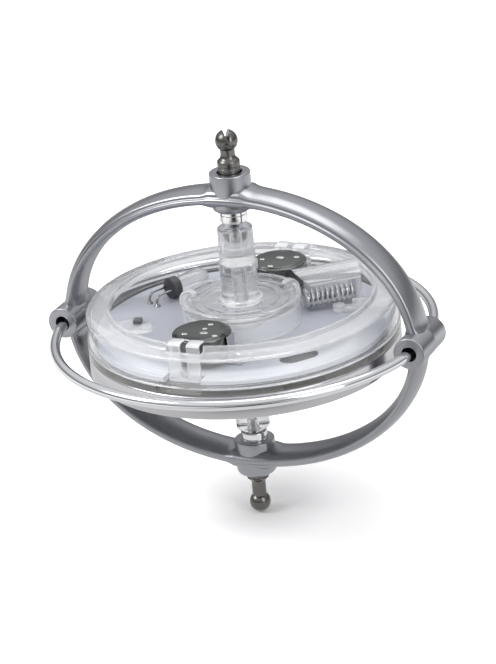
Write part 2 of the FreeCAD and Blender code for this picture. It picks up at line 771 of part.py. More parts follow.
def contact_strip(label, angle):
    # an upright strip beside the cell, on a foot that lies on the board, and a pad that the cell stands on
    near = cell_radius + seat_gap
    far = near + strip_thickness
    upright = box(label + "_upright", strip_thickness, strip_width, cell_top - strip_top_drop - board_top,
                  near, 0, board_top)
    foot = box(label + "_foot", strip_foot, strip_width, strip_thickness, near, 0, board_top)
    pad = box(label + "_pad", pad_length, strip_width, cell_rise, far - pad_length, 0, board_top)
    strip = fuse(label + "_bent", [upright, foot, pad])
    strip.Label = label
    place(strip, cell_place * cosine(angle), cell_place * sine(angle), foot_depth, turn=angle - 270)
    pieces.append(strip)


# lamp and small parts

def lamp():
    lamp_height = board_top + holder_radius + running_gap
    lens_end = lamp_length - lamp_radius
    holder = lying_cylinder("holder_bar", holder_radius, holder_length)
    tube = lying_cylinder("lens_tube", lamp_radius, lens_end - holder_length, holder_length)
    dome = doc.addObject("Part::Sphere", "lens_dome")
    dome.Radius = number(lamp_radius)
    bind(dome, "Radius", lamp_radius)
    place(dome, lens_end)
    leads = []
    drop = lamp_height - board_top
    bend_start = -lead_run + lead_bend
    for end in (-1, 1):
        side = lead_pitch / 2 * end
        level = lying_cylinder(f"lead_level_{end + 1}", lead_radius, lead_run - lead_bend, bend_start, side)
        bend = doc.addObject("Part::Torus", f"lead_bend_{end + 1}")
        bend.Radius1 = number(lead_bend)
        bend.Radius2 = number(lead_radius)
        bend.Angle3 = RIGHT_ANGLE
        bind(bend, "Radius1", lead_bend)
        bind(bend, "Radius2", lead_radius)
        bend.Placement = Placement(Vector(number(bend_start), number(side), -number(lead_bend)),
                                   Rotation(X_AXIS, Z_AXIS, -Y_AXIS, "XYZ") * Rotation(Z_AXIS, RIGHT_ANGLE))
        for path, value in (("x", bend_start), ("y", side), ("z", -lead_bend)):
            bind(bend, "Placement.Base." + path, value)
        down = cylinder(f"lead_down_{end + 1}", lead_radius, drop - lead_bend, -lead_run, side, -drop)
        joint = doc.addObject("Part::Cone", f"solder_{end + 1}")
        joint.Radius1 = number(solder_radius)
        joint.Radius2 = number(lead_radius)
        joint.Height = number(solder_height)
        for path, value in (("Radius1", solder_radius), ("Radius2", lead_radius), ("Height", solder_height)):
            bind(joint, path, value)
        place(joint, -lead_run, side, -drop)
        leads.append(fuse(f"lead_{end + 1}", [level, bend, down, joint]))
    for thing, label in ((holder, "lamp_holder"), (fuse("lens_moulded", [tube, dome]), "lamp_lens"),
                         (group("lead_pair", leads), "lamp_leads")):
        if label == "lamp_holder":
            thing = group("holder_group", [holder])
        thing.Label = label
        place(thing, lamp_place * cosine(lamp_place_angle), lamp_place * sine(lamp_place_angle),
              lamp_height + foot_depth, turn=lamp_angle)
        pieces.append(thing)


def small_parts():
    chip = box("chip_block", chip_width, chip_length, chip_height,
               well_radius - chip_inset - chip_width / 2, 0, board_top)
    piece(group("chip_group", [chip]), "driver_chip", chip_angle)


# centrifugal switch

def biarc(start, start_way, end, end_way):
    # two arcs that leave start and reach end in the given unit directions
    chord = end - start
    ways = start_way + end_way
    lean = 2 * (1 - start_way.dot(end_way))
    along = chord.dot(ways)
    reach = (math.sqrt(along * along + lean * chord.dot(chord)) - along) / lean
    middle = (start + end + (start_way - end_way) * reach) / 2
    return [tangent_arc(start, start_way, middle), tangent_arc(end, -end_way, middle)]


def tangent_arc(start, way, end):
    chord = end - start
    along = Vector(chord).normalize()
    aside = way - along * way.dot(along)
    half_turn = math.acos(max(-1.0, min(1.0, way.dot(along))))
    crown = (start + end) / 2 + aside.normalize() * chord.Length / 2 * math.tan(half_turn / 2)
    return Part.Arc(start, crown, end).toShape()


def spring_path():
    # the spring lies along X, each end run straight and square to the face that it meets
    mean = number(spring_radius - spring_wire_radius)
    first = number(spring_start)
    last = number(spring_end)
    straight = number(spring_wire_radius) * 2
    bend = number(spring_end_bend)
    coil_start = first + straight + bend
    coil_length = last - first - 2 * (straight + bend)
    steps = spring_turns * 4
    slope = coil_length / (spring_turns * 2 * math.pi * mean)

    def point(turns):
        angle = 2 * math.pi * turns
        return Vector(coil_start + coil_length * turns / spring_turns,
                      mean * math.cos(angle), mean * math.sin(angle))

    def way(turns):
        angle = 2 * math.pi * turns
        return Vector(slope, -math.sin(angle), math.cos(angle)).normalize()

    entry = Vector(first + straight, mean, -bend)
    leave = Vector(last - straight, mean, bend)
    edges = [Part.LineSegment(Vector(first, mean, -bend), entry).toShape()]
    edges += biarc(entry, X_AXIS, point(0), way(0))
    for step in range(steps):
        turns, after = step * spring_turns / steps, (step + 1) * spring_turns / steps
        edges += biarc(point(turns), way(turns), point(after), way(after))
    edges += biarc(point(spring_turns), way(spring_turns), leave, X_AXIS)
    edges.append(Part.LineSegment(leave, Vector(last, mean, bend)).toShape())
    return Part.Wire(Part.__sortEdges__(edges))


def least_gap(path, wire):
    # the least distance between turns, measured on points that lie over a turn apart along the path
    points = path.discretize(Number=spring_turns * 60)
    skip = 40
    near = min(first.distanceToPoint(second)
               for index, first in enumerate(points) for second in points[index + skip:])
    return near - wire


def switch_spring():
    path = spring_path()
    start = path.Vertexes[0].Point
    circle = Part.Wire(Part.Circle(start, X_AXIS, number(spring_wire_radius)).toShape())
    pipe = Part.BRepOffsetAPI.MakePipeShell(path)
    pipe.add(circle)
    pipe.build()
    pipe.makeSolid()
    coil = pipe.shape()
    wire = number(spring_wire_radius) * 2
    print("spring: least gap %.2f mm, volume %.3f of section times length" % (
        least_gap(path, wire), coil.Volume / (math.pi * wire * wire / 4 * path.Length)))
    spring = doc.addObject("Part::Feature", "spring_coil")
    spring.Shape = coil
    spring.Label = "switch_spring"
    spring.Placement = Placement(Vector(0, 0, number(foot_depth + switch_height)),
                                 Rotation(Z_AXIS, number(switch_angle)))
    pieces.append(spring)


def switch_weight():
    head = lying_cylinder("weight_head", weight_head_radius, weight_head_length,
                          spring_start - weight_head_length, 0, switch_height)
    stem = lying_cylinder("weight_stem", weight_stem_radius, weight_stem_length,
                          spring_start, 0, switch_height)
    piece(fuse("weight_turned", [head, stem]), "switch_weight", switch_angle)


def switch_contact():
    start = stem_tip + switch_travel + running_gap
    pin = lying_cylinder("contact_pin", weight_stem_radius, spring_end - start, start, 0, switch_height)
    piece(group("contact_group", [pin]), "switch_contact", switch_angle)


def switch_housing():
    # a half-round roof on a rear wall, and the block that the spring and the contact pin stand on
    block_corner = block_width / 2 + roof_offset
    reach = well_radius - seat_gap
    block_end = root(reach * reach - block_corner * block_corner)
    width = roof_radius * 2 + overrun * 2
    outer = lying_cylinder("roof_outer", roof_radius, block_end - roof_start,
                           roof_start, roof_offset, roof_height)
    hollow = lying_cylinder("roof_hollow", roof_radius - roof_wall, spring_end - roof_start + overrun,
                            roof_start - overrun, roof_offset, roof_height)
    lower_half = box("roof_lower_half", block_end - roof_start + overrun * 2, width, roof_radius + overrun,
                     roof_start - overrun, roof_offset, roof_height - roof_radius - overrun)
    slant = doc.addObject("Part::Wedge", "roof_slant_cut")
    for path, value in (("Xmin", 0), ("Ymin", 0), ("Zmin", 0), ("X2min", 0), ("Z2min", 0), ("X2max", 0),
                        ("Xmax", roof_slant * 2), ("Ymax", roof_radius * 2),
                        ("Zmax", width), ("Z2max", width)):
        setattr(slant, path, number(value))
        bind(slant, path, value)
    place(slant, roof_start - roof_slant, roof_offset + width / 2, roof_height, X_AXIS, RIGHT_ANGLE)
    roof = cut("roof_shell", outer, [hollow, lower_half, slant])
    wall_start = roof_start + roof_slant
    wall = box("roof_rear_wall", block_end - wall_start, roof_wall, roof_height - board_top,
               wall_start, roof_offset + roof_radius - roof_wall / 2, board_top)
    block = box("switch_block", block_end - spring_end, block_width, roof_height + block_rise - board_top,
                spring_end, roof_offset, board_top)
    piece(fuse("switch_moulded", [roof, wall, block]), "switch_housing", switch_angle)


frame_hoop()
guard_ring()
pivots()
flywheel_ring()
rotor_base()
circuit_board()
rotor_cover()
hub_collar()
column_cap()
thrust_cups()
for where, turn in (("front", cell_angle), ("rear", cell_angle - HALF_TURN)):
    button_cell("battery_" + where, turn)
    contact_strip("contact_" + where, turn)
for where, turn in (("front", clip_angle), ("rear", clip_angle - HALF_TURN)):
    battery_clip("battery_clip_" + where, turn)
lamp()
small_parts()
switch_spring()
switch_weight()
switch_contact()
switch_housing()

doc.recompute()
for thing in doc.Objects:
    if "Invalid" in thing.State or "Error" in thing.State:
        raise RuntimeError(f"{thing.Name} failed: {thing.State}")
for thing in pieces:
    if thing.Shape.isNull() or not thing.Shape.isValid() or not thing.Shape.Solids:
        raise RuntimeError(f"{thing.Label} has no valid solid")

os.makedirs("parts", exist_ok=True)
for thing in pieces:
    thing.Shape.exportStep(f"parts/{thing.Label}.step")
    print(thing.Label, len(thing.Shape.Solids), "solid,", round(thing.Shape.Volume, 1), "mm3")
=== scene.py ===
import math

import bmesh
import bpy
from mathutils import Matrix, Vector


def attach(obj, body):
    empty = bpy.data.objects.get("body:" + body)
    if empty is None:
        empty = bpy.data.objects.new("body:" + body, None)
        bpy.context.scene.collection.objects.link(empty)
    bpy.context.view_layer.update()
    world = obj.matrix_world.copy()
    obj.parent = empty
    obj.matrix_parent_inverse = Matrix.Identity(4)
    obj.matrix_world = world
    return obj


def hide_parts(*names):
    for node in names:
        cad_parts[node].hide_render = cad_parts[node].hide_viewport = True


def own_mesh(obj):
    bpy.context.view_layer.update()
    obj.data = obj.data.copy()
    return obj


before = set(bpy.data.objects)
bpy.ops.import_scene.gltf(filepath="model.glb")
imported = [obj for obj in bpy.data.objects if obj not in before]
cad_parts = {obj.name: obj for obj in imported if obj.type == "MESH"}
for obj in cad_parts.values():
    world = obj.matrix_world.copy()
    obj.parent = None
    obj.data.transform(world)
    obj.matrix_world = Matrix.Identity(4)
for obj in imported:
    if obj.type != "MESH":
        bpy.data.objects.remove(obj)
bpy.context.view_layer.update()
scene = bpy.context.scene
print("frame loaded", len(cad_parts), "nodes")

# all pieces are drawn in millimetres round the middle of the wire ring, and settle() brings them to the frame
lift = 40.75
fullTurn = math.tau


def move(bm, verts, way):
    bmesh.ops.translate(bm, verts=verts, vec=way)


def settle(bm):
    move(bm, bm.verts, (0, 0, lift))
    bmesh.ops.scale(bm, verts=bm.verts, vec=(0.001, 0.001, 0.001))


def turnVerts(verts, degrees, axis="Z", centre=(0, 0, 0)):
    turn = Matrix.Rotation(math.radians(degrees), 3, axis)
    for vert in verts:
        vert.co = turn @ (vert.co - Vector(centre)) + Vector(centre)


def soften(bm, edges, rounding, segments=3):
    return bmesh.ops.bevel(bm, geom=edges, offset=rounding, segments=segments, profile=0.5, affect="EDGES",
                           material=-1)


def pullOut(bm, faces, way):
    # draws faces out along a way, and gives the new vertices and faces
    made = bmesh.ops.extrude_face_region(bm, geom=faces)["geom"]
    verts = [item for item in made if isinstance(item, bmesh.types.BMVert)]
    move(bm, verts, way)
    return verts, [item for item in made if isinstance(item, bmesh.types.BMFace)]


def arcPoints(height, radius, start, end, count):
    # points on a ball of the given radius, by angle from the level
    step = (end - start) / (count - 1)
    angles = [math.radians(start + step * index) for index in range(count)]
    return [(radius * math.cos(angle), height + radius * math.sin(angle)) for angle in angles]


def lathe(points, steps=144, corners=4, bm=None):
    # spins a closed outline of (radius, height) or (radius, height, rounding) about the spin axis
    bm = bm or bmesh.new()
    old = set(bm.verts)
    verts = [bm.verts.new((point[0], 0, point[1])) for point in points]
    for first, second in zip(verts, verts[1:] + verts[:1]):
        if first.co.x > 1e-6 or second.co.x > 1e-6:
            bm.edges.new((first, second))
    for vert, point in zip(verts, points):
        if len(point) > 2:
            bmesh.ops.bevel(bm, geom=[vert], offset=point[2], offset_type="ABSOLUTE", segments=corners,
                            profile=0.5, affect="VERTICES", material=-1)
    outline = [vert for vert in bm.verts if vert not in old]
    edges = [edge for edge in bm.edges if edge.verts[0] not in old]
    bmesh.ops.spin(bm, geom=outline + edges, cent=(0, 0, 0), axis=(0, 0, 1), dvec=(0, 0, 0),
                   angle=fullTurn, steps=steps, use_merge=True, use_duplicate=False)
    fresh = [vert for vert in bm.verts if vert not in old]
    bmesh.ops.remove_doubles(bm, verts=fresh, dist=0.0005)
    bmesh.ops.recalc_face_normals(bm, faces=bm.faces)
    return bm


def block(bm, low, high, rounding=0.12):
    # a box between two corners with rounded edges
    made = bmesh.ops.create_cube(bm, size=1)["verts"]
    middle = [(a + b) / 2 for a, b in zip(low, high)]
    bmesh.ops.scale(bm, verts=made, vec=[b - a for a, b in zip(low, high)])
    move(bm, made, middle)
    if rounding:
        edges = list({edge for vert in made for edge in vert.link_edges})
        done = soften(bm, made + edges, rounding)
        made = list({vert for face in done["faces"] for vert in face.verts})
    return made


def rod(bm, start, end, radius, segments=32, rounding=0.0):
    # a round bar between two points
    start, end = Vector(start), Vector(end)
    way = end - start
    made = bmesh.ops.create_cone(bm, cap_ends=True, segments=segments, radius1=radius, radius2=radius,
                                 depth=way.length)["verts"]
    if rounding:
        rims = list({edge for vert in made for edge in vert.link_edges
                     if abs(edge.verts[0].co.z - edge.verts[1].co.z) < 1e-6})
        done = soften(bm, rims, rounding)
        made = list({vert for face in done["faces"] for vert in face.verts}
                    | {vert for vert in made if vert.is_valid})
    place = Matrix.Translation((start + end) / 2) @ way.to_track_quat("Z", "Y").to_matrix().to_4x4()
    bmesh.ops.transform(bm, matrix=place, verts=made)
    return made


def lying(points, height, steps):
    # an outline of (radius, distance) spun about a level axis at the given height
    bm = lathe(points, steps=steps)
    turnVerts(bm.verts, 90, "Y")
    move(bm, bm.verts, (0, 0, height))
    return bm


def newObject(name, data):
    obj = bpy.data.objects.new(name, data)
    scene.collection.objects.link(obj)
    return obj


def blank(name, bm):
    mesh = bpy.data.meshes.new(name)
    settle(bm)
    bm.to_mesh(mesh)
    bm.free()
    return newObject(name, mesh)


def swing(obj, degrees):
    obj.data.transform(Matrix.Rotation(math.radians(degrees), 4, "Z"))


def turnedBlock(low, high, degrees):
    # a sharp box, turned about the spin axis
    bm = bmesh.new()
    turnVerts(block(bm, low, high, 0), degrees)
    return blank("turnedBlock", bm)


def combine(obj, others, operation):
    # cuts the others out of the object, or welds them to it, and removes them
    for other in others:
        modifier = obj.modifiers.new("combine", "BOOLEAN")
        modifier.operation = operation
        modifier.solver = "EXACT"
        modifier.object = other
    bpy.context.view_layer.update()
    whole = obj.evaluated_get(bpy.context.evaluated_depsgraph_get())
    mesh = bpy.data.meshes.new_from_object(whole)
    obj.modifiers.clear()
    obj.data = mesh
    for other in others:
        bpy.data.objects.remove(other)


def finishPiece(obj, body, material, nodes=(), sharp=32):
    obj.data.materials.clear()
    obj.data.materials.append(material)
    for face in obj.data.polygons:
        face.use_smooth = True
    obj.data.set_sharp_from_angle(angle=math.radians(sharp))
    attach(obj, body)
    if nodes:
        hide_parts(*nodes)
    return obj


def markFaces(obj, material, test):
    # gives a second material to the faces whose radius, height and level share pass the test
    obj.data.materials.append(material)
    for face in obj.data.polygons:
        away, height = math.hypot(face.center.x, face.center.y) * 1000, face.center.z * 1000 - lift
        if test(away, height, abs(face.normal.z)):
            face.material_index = len(obj.data.materials) - 1


# materials

def newMaterial(name):
    material = bpy.data.materials.new(name)
    material.use_nodes = True
    tree = material.node_tree
    return material, tree, tree.nodes["Principled BSDF"]


def addNode(tree, kind, **values):
    node = tree.nodes.new(kind)
    for key, value in values.items():
        if key in node.inputs:
            node.inputs[key].default_value = value
        else:
            setattr(node, key, value)
    return node


def setInputs(node, **values):
    for key, value in values.items():
        node.inputs[key.replace("_", " ")].default_value = value


def fill(tree, sockets, values):
    # sets each socket to a value, or links it to another socket
    for socket, value in zip(sockets, values):
        if isinstance(value, (float, tuple)):
            socket.default_value = value
        else:
            tree.links.new(value, socket)


def count(tree, operation, *values):
    node = addNode(tree, "ShaderNodeMath", operation=operation)
    fill(tree, node.inputs, values)
    return node.outputs[0]


def mixTone(tree, share, first, second):
    node = addNode(tree, "ShaderNodeMix", data_type="RGBA")
    fill(tree, (node.inputs[0], *node.inputs[6:8]), (share, first, second))
    return node.outputs[2]


def levelPlace(tree):
    # nodes for the object's own coordinates, their level part and its length
    place = addNode(tree, "ShaderNodeTexCoord")
    parts = addNode(tree, "ShaderNodeSeparateXYZ")
    flat = addNode(tree, "ShaderNodeCombineXYZ")
    distance = addNode(tree, "ShaderNodeVectorMath", operation="LENGTH")
    tree.links.new(place.outputs["Object"], parts.inputs[0])
    tree.links.new(parts.outputs[0], flat.inputs[0])
    tree.links.new(parts.outputs[1], flat.inputs[1])
    tree.links.new(flat.outputs[0], distance.inputs[0])
    return parts, flat, distance


def seenRays(tree):
    # one for rays from the camera, straight or through clear plastic
    path = addNode(tree, "ShaderNodeLightPath")
    return path, count(tree, "MAXIMUM", path.outputs["Is Camera Ray"], path.outputs["Is Transmission Ray"])


def surfaceGroup():
    # fine unevenness for cast, turned and moulded surfaces: a mask, a roughness and a height
    group = bpy.data.node_groups.new("surfaceDetail", "ShaderNodeTree")
    face = group.interface
    for name, value in (("Scale", 900.0), ("Roughness", 0.3), ("Spread", 0.08), ("Wear", 0.1)):
        socket = face.new_socket(name=name, in_out="INPUT", socket_type="NodeSocketFloat")
        socket.default_value = value
    for name in ("Height", "Roughness", "Mask"):
        face.new_socket(name=name, in_out="OUTPUT", socket_type="NodeSocketFloat")
    inside = addNode(group, "NodeGroupInput")
    outside = addNode(group, "NodeGroupOutput")
    place = addNode(group, "ShaderNodeTexCoord")
    fine = addNode(group, "ShaderNodeTexNoise", Detail=4.0, Roughness=0.6)
    broad = addNode(group, "ShaderNodeTexNoise", Detail=3.0, Roughness=0.5)
    link = group.links.new
    link(place.outputs["Object"], fine.inputs["Vector"])
    link(place.outputs["Object"], broad.inputs["Vector"])
    link(inside.outputs["Scale"], fine.inputs["Scale"])
    link(count(group, "MULTIPLY", inside.outputs["Scale"], 0.12), broad.inputs["Scale"])
    centred = count(group, "SUBTRACT", broad.outputs["Fac"], 0.5)
    results = {"Height": fine.outputs["Fac"],
               "Roughness": count(group, "MULTIPLY_ADD", centred, inside.outputs["Spread"],
                                  inside.outputs["Roughness"]),
               "Mask": count(group, "MULTIPLY", broad.outputs["Fac"], inside.outputs["Wear"])}
    for name, socket in results.items():
        link(socket, outside.inputs[name])
    return group


surfaceDetail = surfaceGroup()


def addDetail(tree, shader, scale, roughness, spread, wear, strength, depth):
    # links the shared unevenness to a shader's roughness and surface
    detail = addNode(tree, "ShaderNodeGroup")
    detail.node_tree = surfaceDetail
    setInputs(detail, Scale=scale, Roughness=roughness, Spread=spread, Wear=wear)
    relief = addNode(tree, "ShaderNodeBump", Strength=strength, Distance=depth)
    tree.links.new(detail.outputs["Roughness"], shader.inputs["Roughness"])
    tree.links.new(detail.outputs["Height"], relief.inputs["Height"])
    tree.links.new(relief.outputs["Normal"], shader.inputs["Normal"])
    return detail, relief


def metal(name, colour, dark, scale, roughness, spread, wear, bump, metallic=1.0, lines=0.0):
    # metal with cast, drawn or turned unevenness; lines adds turning marks round the spin axis
    material, tree, shader = newMaterial(name)
    link = tree.links.new
    detail, relief = addDetail(tree, shader, scale, roughness, spread, wear, bump, 0.00005)
    link(mixTone(tree, detail.outputs["Mask"], (*colour, 1), (*dark, 1)), shader.inputs["Base Color"])
    setInputs(shader, Metallic=metallic)
    if lines:
        parts, _, distance = levelPlace(tree)
        coordinates = addNode(tree, "ShaderNodeCombineXYZ")
        link(distance.outputs["Value"], coordinates.inputs[0])
        link(parts.outputs[2], coordinates.inputs[1])
        marks = addNode(tree, "ShaderNodeTexNoise", Scale=lines, Detail=2.0)
        link(coordinates.outputs[0], marks.inputs["Vector"])
        second = addNode(tree, "ShaderNodeBump", Strength=0.25, Distance=0.00003)
        link(marks.outputs["Fac"], second.inputs["Height"])
        link(relief.outputs["Normal"], second.inputs["Normal"])
        link(second.outputs["Normal"], shader.inputs["Normal"])
    return material


def clearPlastic(name, tint, edge, roughness, wave, milk, bend=1.22, band=None):
    # clear moulded plastic, a little milky, with painted shade that darkens it where it is seen edge on; band
    # tints a level strip
    material, tree, shader = newMaterial(name)
    link = tree.links.new
    setInputs(shader, Transmission_Weight=1.0 - milk, IOR=bend, Coat_Weight=0.7, Coat_Roughness=0.05)
    slope = addNode(tree, "ShaderNodeLayerWeight", Blend=0.4)
    colour = mixTone(tree, slope.outputs["Facing"], (*tint, 1), (*edge, 1))
    if band:
        low, high, shade = band
        inside = count(tree, "COMPARE", levelPlace(tree)[0].outputs[2], (lift + (low + high) / 2) / 1000,
                       (high - low) / 2000)
        colour = mixTone(tree, inside, colour, (*shade, 1))
    link(colour, shader.inputs["Base Color"])
    addDetail(tree, shader, 160.0, roughness, roughness, 0.0, wave, 0.0001)
    thin = addNode(tree, "ShaderNodeBsdfTransparent")
    thin.inputs["Color"].default_value = (0.965, 0.967, 0.97, 1)
    path = addNode(tree, "ShaderNodeLightPath")
    mix = addNode(tree, "ShaderNodeMixShader")
    out = tree.nodes["Material Output"]
    link(path.outputs["Is Shadow Ray"], mix.inputs[0])
    link(shader.outputs[0], mix.inputs[1])
    link(thin.outputs[0], mix.inputs[2])
    link(mix.outputs[0], out.inputs["Surface"])
    return material


def plastic(name, colour, dark, scale, roughness, bump):
    return metal(name, colour, dark, scale, roughness, 0.1, 0.6, bump, metallic=0.0)


# where the board is painted paler, standing in for light that falls through the front of the clear wall: its
# front direction, and the distances in metres over which it does
boardPaintedLight = {"front": (0.438, -0.899, 0), "outwards": (0.0235, 0.0262), "forwards": (0.006, 0.019),
             "tint": (0.6, 0.612, 0.645, 1)}


def boardMaterial():
    # a cool grey board, with painted light making it paler where it lies under the front of the clear wall
    material = plastic("boardGreyWithPaintedLight", (0.385, 0.398, 0.445), (0.335, 0.35, 0.40), 1500.0, 0.38, 0.08)
    tree = material.node_tree
    link = tree.links.new
    shader = tree.nodes["Principled BSDF"]
    tone = shader.inputs["Base Color"].links[0].from_socket
    _, flat, distance = levelPlace(tree)
    frontwards = addNode(tree, "ShaderNodeVectorMath", operation="DOT_PRODUCT")
    frontwards.inputs[1].default_value = boardPaintedLight["front"]
    link(flat.outputs[0], frontwards.inputs[0])
    shares = []
    for source, key in ((distance, "outwards"), (frontwards, "forwards")):
        reach = addNode(tree, "ShaderNodeMapRange", interpolation_type="SMOOTHSTEP")
        fill(tree, reach.inputs[:3], (source.outputs["Value"], *boardPaintedLight[key]))
        shares.append(reach.outputs[0])
    share = count(tree, "MULTIPLY", *shares)
    link(mixTone(tree, share, tone, boardPaintedLight["tint"]), shader.inputs["Base Color"])
    return material


castSilver = metal("castSilver", (0.38, 0.385, 0.41), (0.29, 0.295, 0.315), 1600.0, 0.3, 0.08, 0.6, 0.3)
wireBright = metal("wireBright", (0.74, 0.75, 0.77), (0.62, 0.63, 0.66), 700.0, 0.12, 0.08, 0.4, 0.04)
nickelDull = metal("nickelDull", (0.235, 0.229, 0.22), (0.075, 0.072, 0.068), 1500.0, 0.26, 0.15, 1.1, 0.3,
                   lines=9000.0)
chromeBush = metal("chromeBush", (0.80, 0.80, 0.81), (0.7, 0.7, 0.71), 500.0, 0.07, 0.04, 0.3, 0.02)
rimTurned = metal("rimTurned", (0.56, 0.56, 0.575), (0.44, 0.44, 0.455), 500.0, 0.2, 0.1, 0.5, 0.05,
                  lines=5000.0)
steelSmall = metal("steelSmall", (0.58, 0.58, 0.60), (0.4, 0.4, 0.42), 1200.0, 0.18, 0.1, 0.5, 0.05)
springWire = metal("springWire", (0.8, 0.8, 0.82), (0.62, 0.62, 0.65), 1500.0, 0.24, 0.1, 0.5, 0.05)
cellDark = metal("cellDark", (0.16, 0.17, 0.165), (0.1, 0.105, 0.10), 700.0, 0.16, 0.06, 0.6, 0.03,
                 lines=3000.0)
# bright metal for the pips: painted highlights on the dark cell lids
cellPipGlint = metal("cellPipGlint", (0.8, 0.8, 0.79), (0.6, 0.6, 0.6), 700.0, 0.15, 0.06, 0.6, 0.03)
boardGreyWithPaintedLight = boardMaterial()
holderDark = plastic("holderDark", (0.07, 0.07, 0.08), (0.03, 0.03, 0.035), 1300.0, 0.4, 0.15)
chipDark = plastic("chipDark", (0.13, 0.13, 0.14), (0.08, 0.08, 0.085), 2000.0, 0.5, 0.2)
clearDish = clearPlastic("clearDish", (0.92, 0.925, 0.935), (0.58, 0.59, 0.61), 0.05, 0.12, 0.1,
                         band=(-1.25, 0.05, (0.50, 0.485, 0.46)))
# near black, painted shade for the lamp cut-outs in the board
slotShade = plastic("slotShade", (0.06, 0.06, 0.065), (0.04, 0.04, 0.045), 1500.0, 0.5, 0.1)
clearLedge = clearPlastic("clearLedge", (0.85, 0.855, 0.865), (0.6, 0.61, 0.63), 0.04, 0.05, 0.26)
clearEar = clearPlastic("clearEar", (0.88, 0.885, 0.895), (0.55, 0.56, 0.58), 0.04, 0.05, 0.27)
clearClip = clearPlastic("clearClip", (0.95, 0.955, 0.96), (0.66, 0.67, 0.69), 0.04, 0.04, 0.42)
clearFinger = clearPlastic("clearFinger", (0.93, 0.935, 0.94), (0.6, 0.61, 0.63), 0.04, 0.04, 0.2)
clearWall = clearPlastic("clearWall", (0.965, 0.97, 0.975), (0.66, 0.67, 0.69), 0.03, 0.03, 0.04)
clearColumn = clearPlastic("clearColumn", (0.80, 0.805, 0.815), (0.42, 0.43, 0.45), 0.05, 0.08, 0.12,
                           bend=1.28)
clearRoof = clearPlastic("clearRoof", (0.82, 0.825, 0.835), (0.4, 0.41, 0.43), 0.04, 0.06, 0.22, bend=1.4)
leadGrey = metal("leadGrey", (0.34, 0.34, 0.36), (0.2, 0.2, 0.22), 1200.0, 0.25, 0.1, 0.5, 0.05)
clearLens = clearPlastic("clearLens", (0.84, 0.845, 0.85), (0.38, 0.38, 0.4), 0.05, 0.04, 0.2, bend=1.4)
print("materials made", len(bpy.data.materials))


# cast hoop

hoop = {"outer": 39.05, "inner": 36.13, "top": 29.98, "innerTop": 26.44, "rise": 0.2,
        "section": ((36.3, 2.2, 0.6), (36.58, 3.25, 0.4), (36.92, 3.97, 0.3), (37.3, 4.2, 0.25),
                    (37.66, 4.1, 0.2), (37.8, 3.62, 0.1), (38.3, 3.55, 0.3), (38.9, 2.2, 0.9)),
        "hub": 4.1, "upperTop": 33.2, "upperFoot": 25.3, "lowerTop": -24.2, "lowerFoot": -31.7,
        "hubRound": 1.1, "bushBore": 2.73, "upperSeat": 27.3, "lowerSeat": -26.2, "collarBore": 2.52,
        "collarSeat": 1.5, "boss": 3.21, "bossLength": 12.8, "bossPlace": 37.724, "bossBore": 1.5,
        "bossStop": 2.2, "flare": 0.5, "flareReach": 1.9, "spread": 0.09, "spreadReach": 9.0}


def hoopBand():
    inner, outer, section = hoop["inner"], hoop["outer"], hoop["section"]
    mirrored = [(point[0], -point[1], point[2]) for point in reversed(section)]
    bm = lathe([(inner, 0), *section, (outer, 0), *mirrored], steps=400)
    turnVerts(bm.verts, 90, "X")
    reach, deep, high = hoop["flareReach"], hoop["innerTop"], hoop["top"]
    for vert in bm.verts:
        # the walls are thicker at the hubs than at the side bosses
        share = (math.hypot(vert.co.x, vert.co.z) - inner) / (outer - inner)
        vert.co.z *= (deep + (high - deep) * share) / (inner + (outer - inner) * share)
        # the casting swells where it runs into the hubs and the side bosses
        across, up = abs(vert.co.x), abs(vert.co.z)
        nearHub = max(0.0, 1 - max(0.0, across - hoop["hub"] + 0.4) / reach) if across < 12 else 0.0
        nearBoss = max(0.0, 1 - max(0.0, up - hoop["boss"] + 0.4) / reach) if up < 10 else 0.0
        swell = hoop["flare"] * (nearHub * nearHub + nearBoss * nearBoss)
        side = min(1.0, max(0.0, (3.9 - abs(vert.co.y)) / 1.2 + 0.35))
        outwards = 1 if share > 0.5 else -1
        vert.co += Vector((vert.co.x, 0, vert.co.z)).normalized() * outwards * swell * side
        wide = max(0.0, 1 - across / hoop["spreadReach"])
        vert.co.y *= 1 + hoop["spread"] * wide * wide * (3 - 2 * wide)
    move(bm, bm.verts, (0, 0, hoop["rise"]))
    return bm


def hoopCasting():
    bm = hoopBand()
    bore, seat, radius = hoop["collarBore"], hoop["collarSeat"], hoop["hub"]
    for top, foot, deep in ((hoop["upperTop"], hoop["upperFoot"], hoop["upperSeat"]),
                            (hoop["lowerFoot"], hoop["lowerTop"], hoop["lowerSeat"])):
        # a hub, with a bore for the bush on its inner side and one for the screw's collar on its outer side
        floor = top - seat if top > 0 else top + seat
        inner, outer = (hoop["hubRound"], 0.25) if top > 0 else (0.25, hoop["hubRound"])
        lathe([(0, deep), (hoop["bushBore"], deep), (hoop["bushBore"], foot, 0.1), (radius, foot, inner),
               (radius, top, outer), (bore, top, 0.12), (bore, floor), (0, floor)], steps=96, bm=bm)
    half, boss = hoop["bossLength"] / 2, hoop["boss"]
    for side in (-1, 1):
        old = set(bm.verts)
        hole, stop = hoop["bossBore"], hoop["bossStop"]
        lathe([(0, -stop), (hole, -stop), (hole, -half, 0.12), (boss, -half, 0.25), (boss, -0.2),
               (boss + 0.03, -0.1), (boss + 0.03, 0.1), (boss, 0.2), (boss, half - 0.2, 0.6),
               (hole + 0.15, half - 0.2, 0.15), (hole, half - 0.6), (hole, stop), (0, stop)], steps=80, bm=bm)
        made = [vert for vert in bm.verts if vert not in old]
        turnVerts(made, 270, "X")
        move(bm, made, (hoop["bossPlace"] * side, 0, hoop["rise"]))
    return blank("hoopCasting", bm)


finishPiece(hoopCasting(), "frame", castSilver, ["frame_hoop"], sharp=40)

# wire ring, open by a hair inside the right boss

ring = {"radius": 38.0, "wire": 1.05, "gap": 1.0}


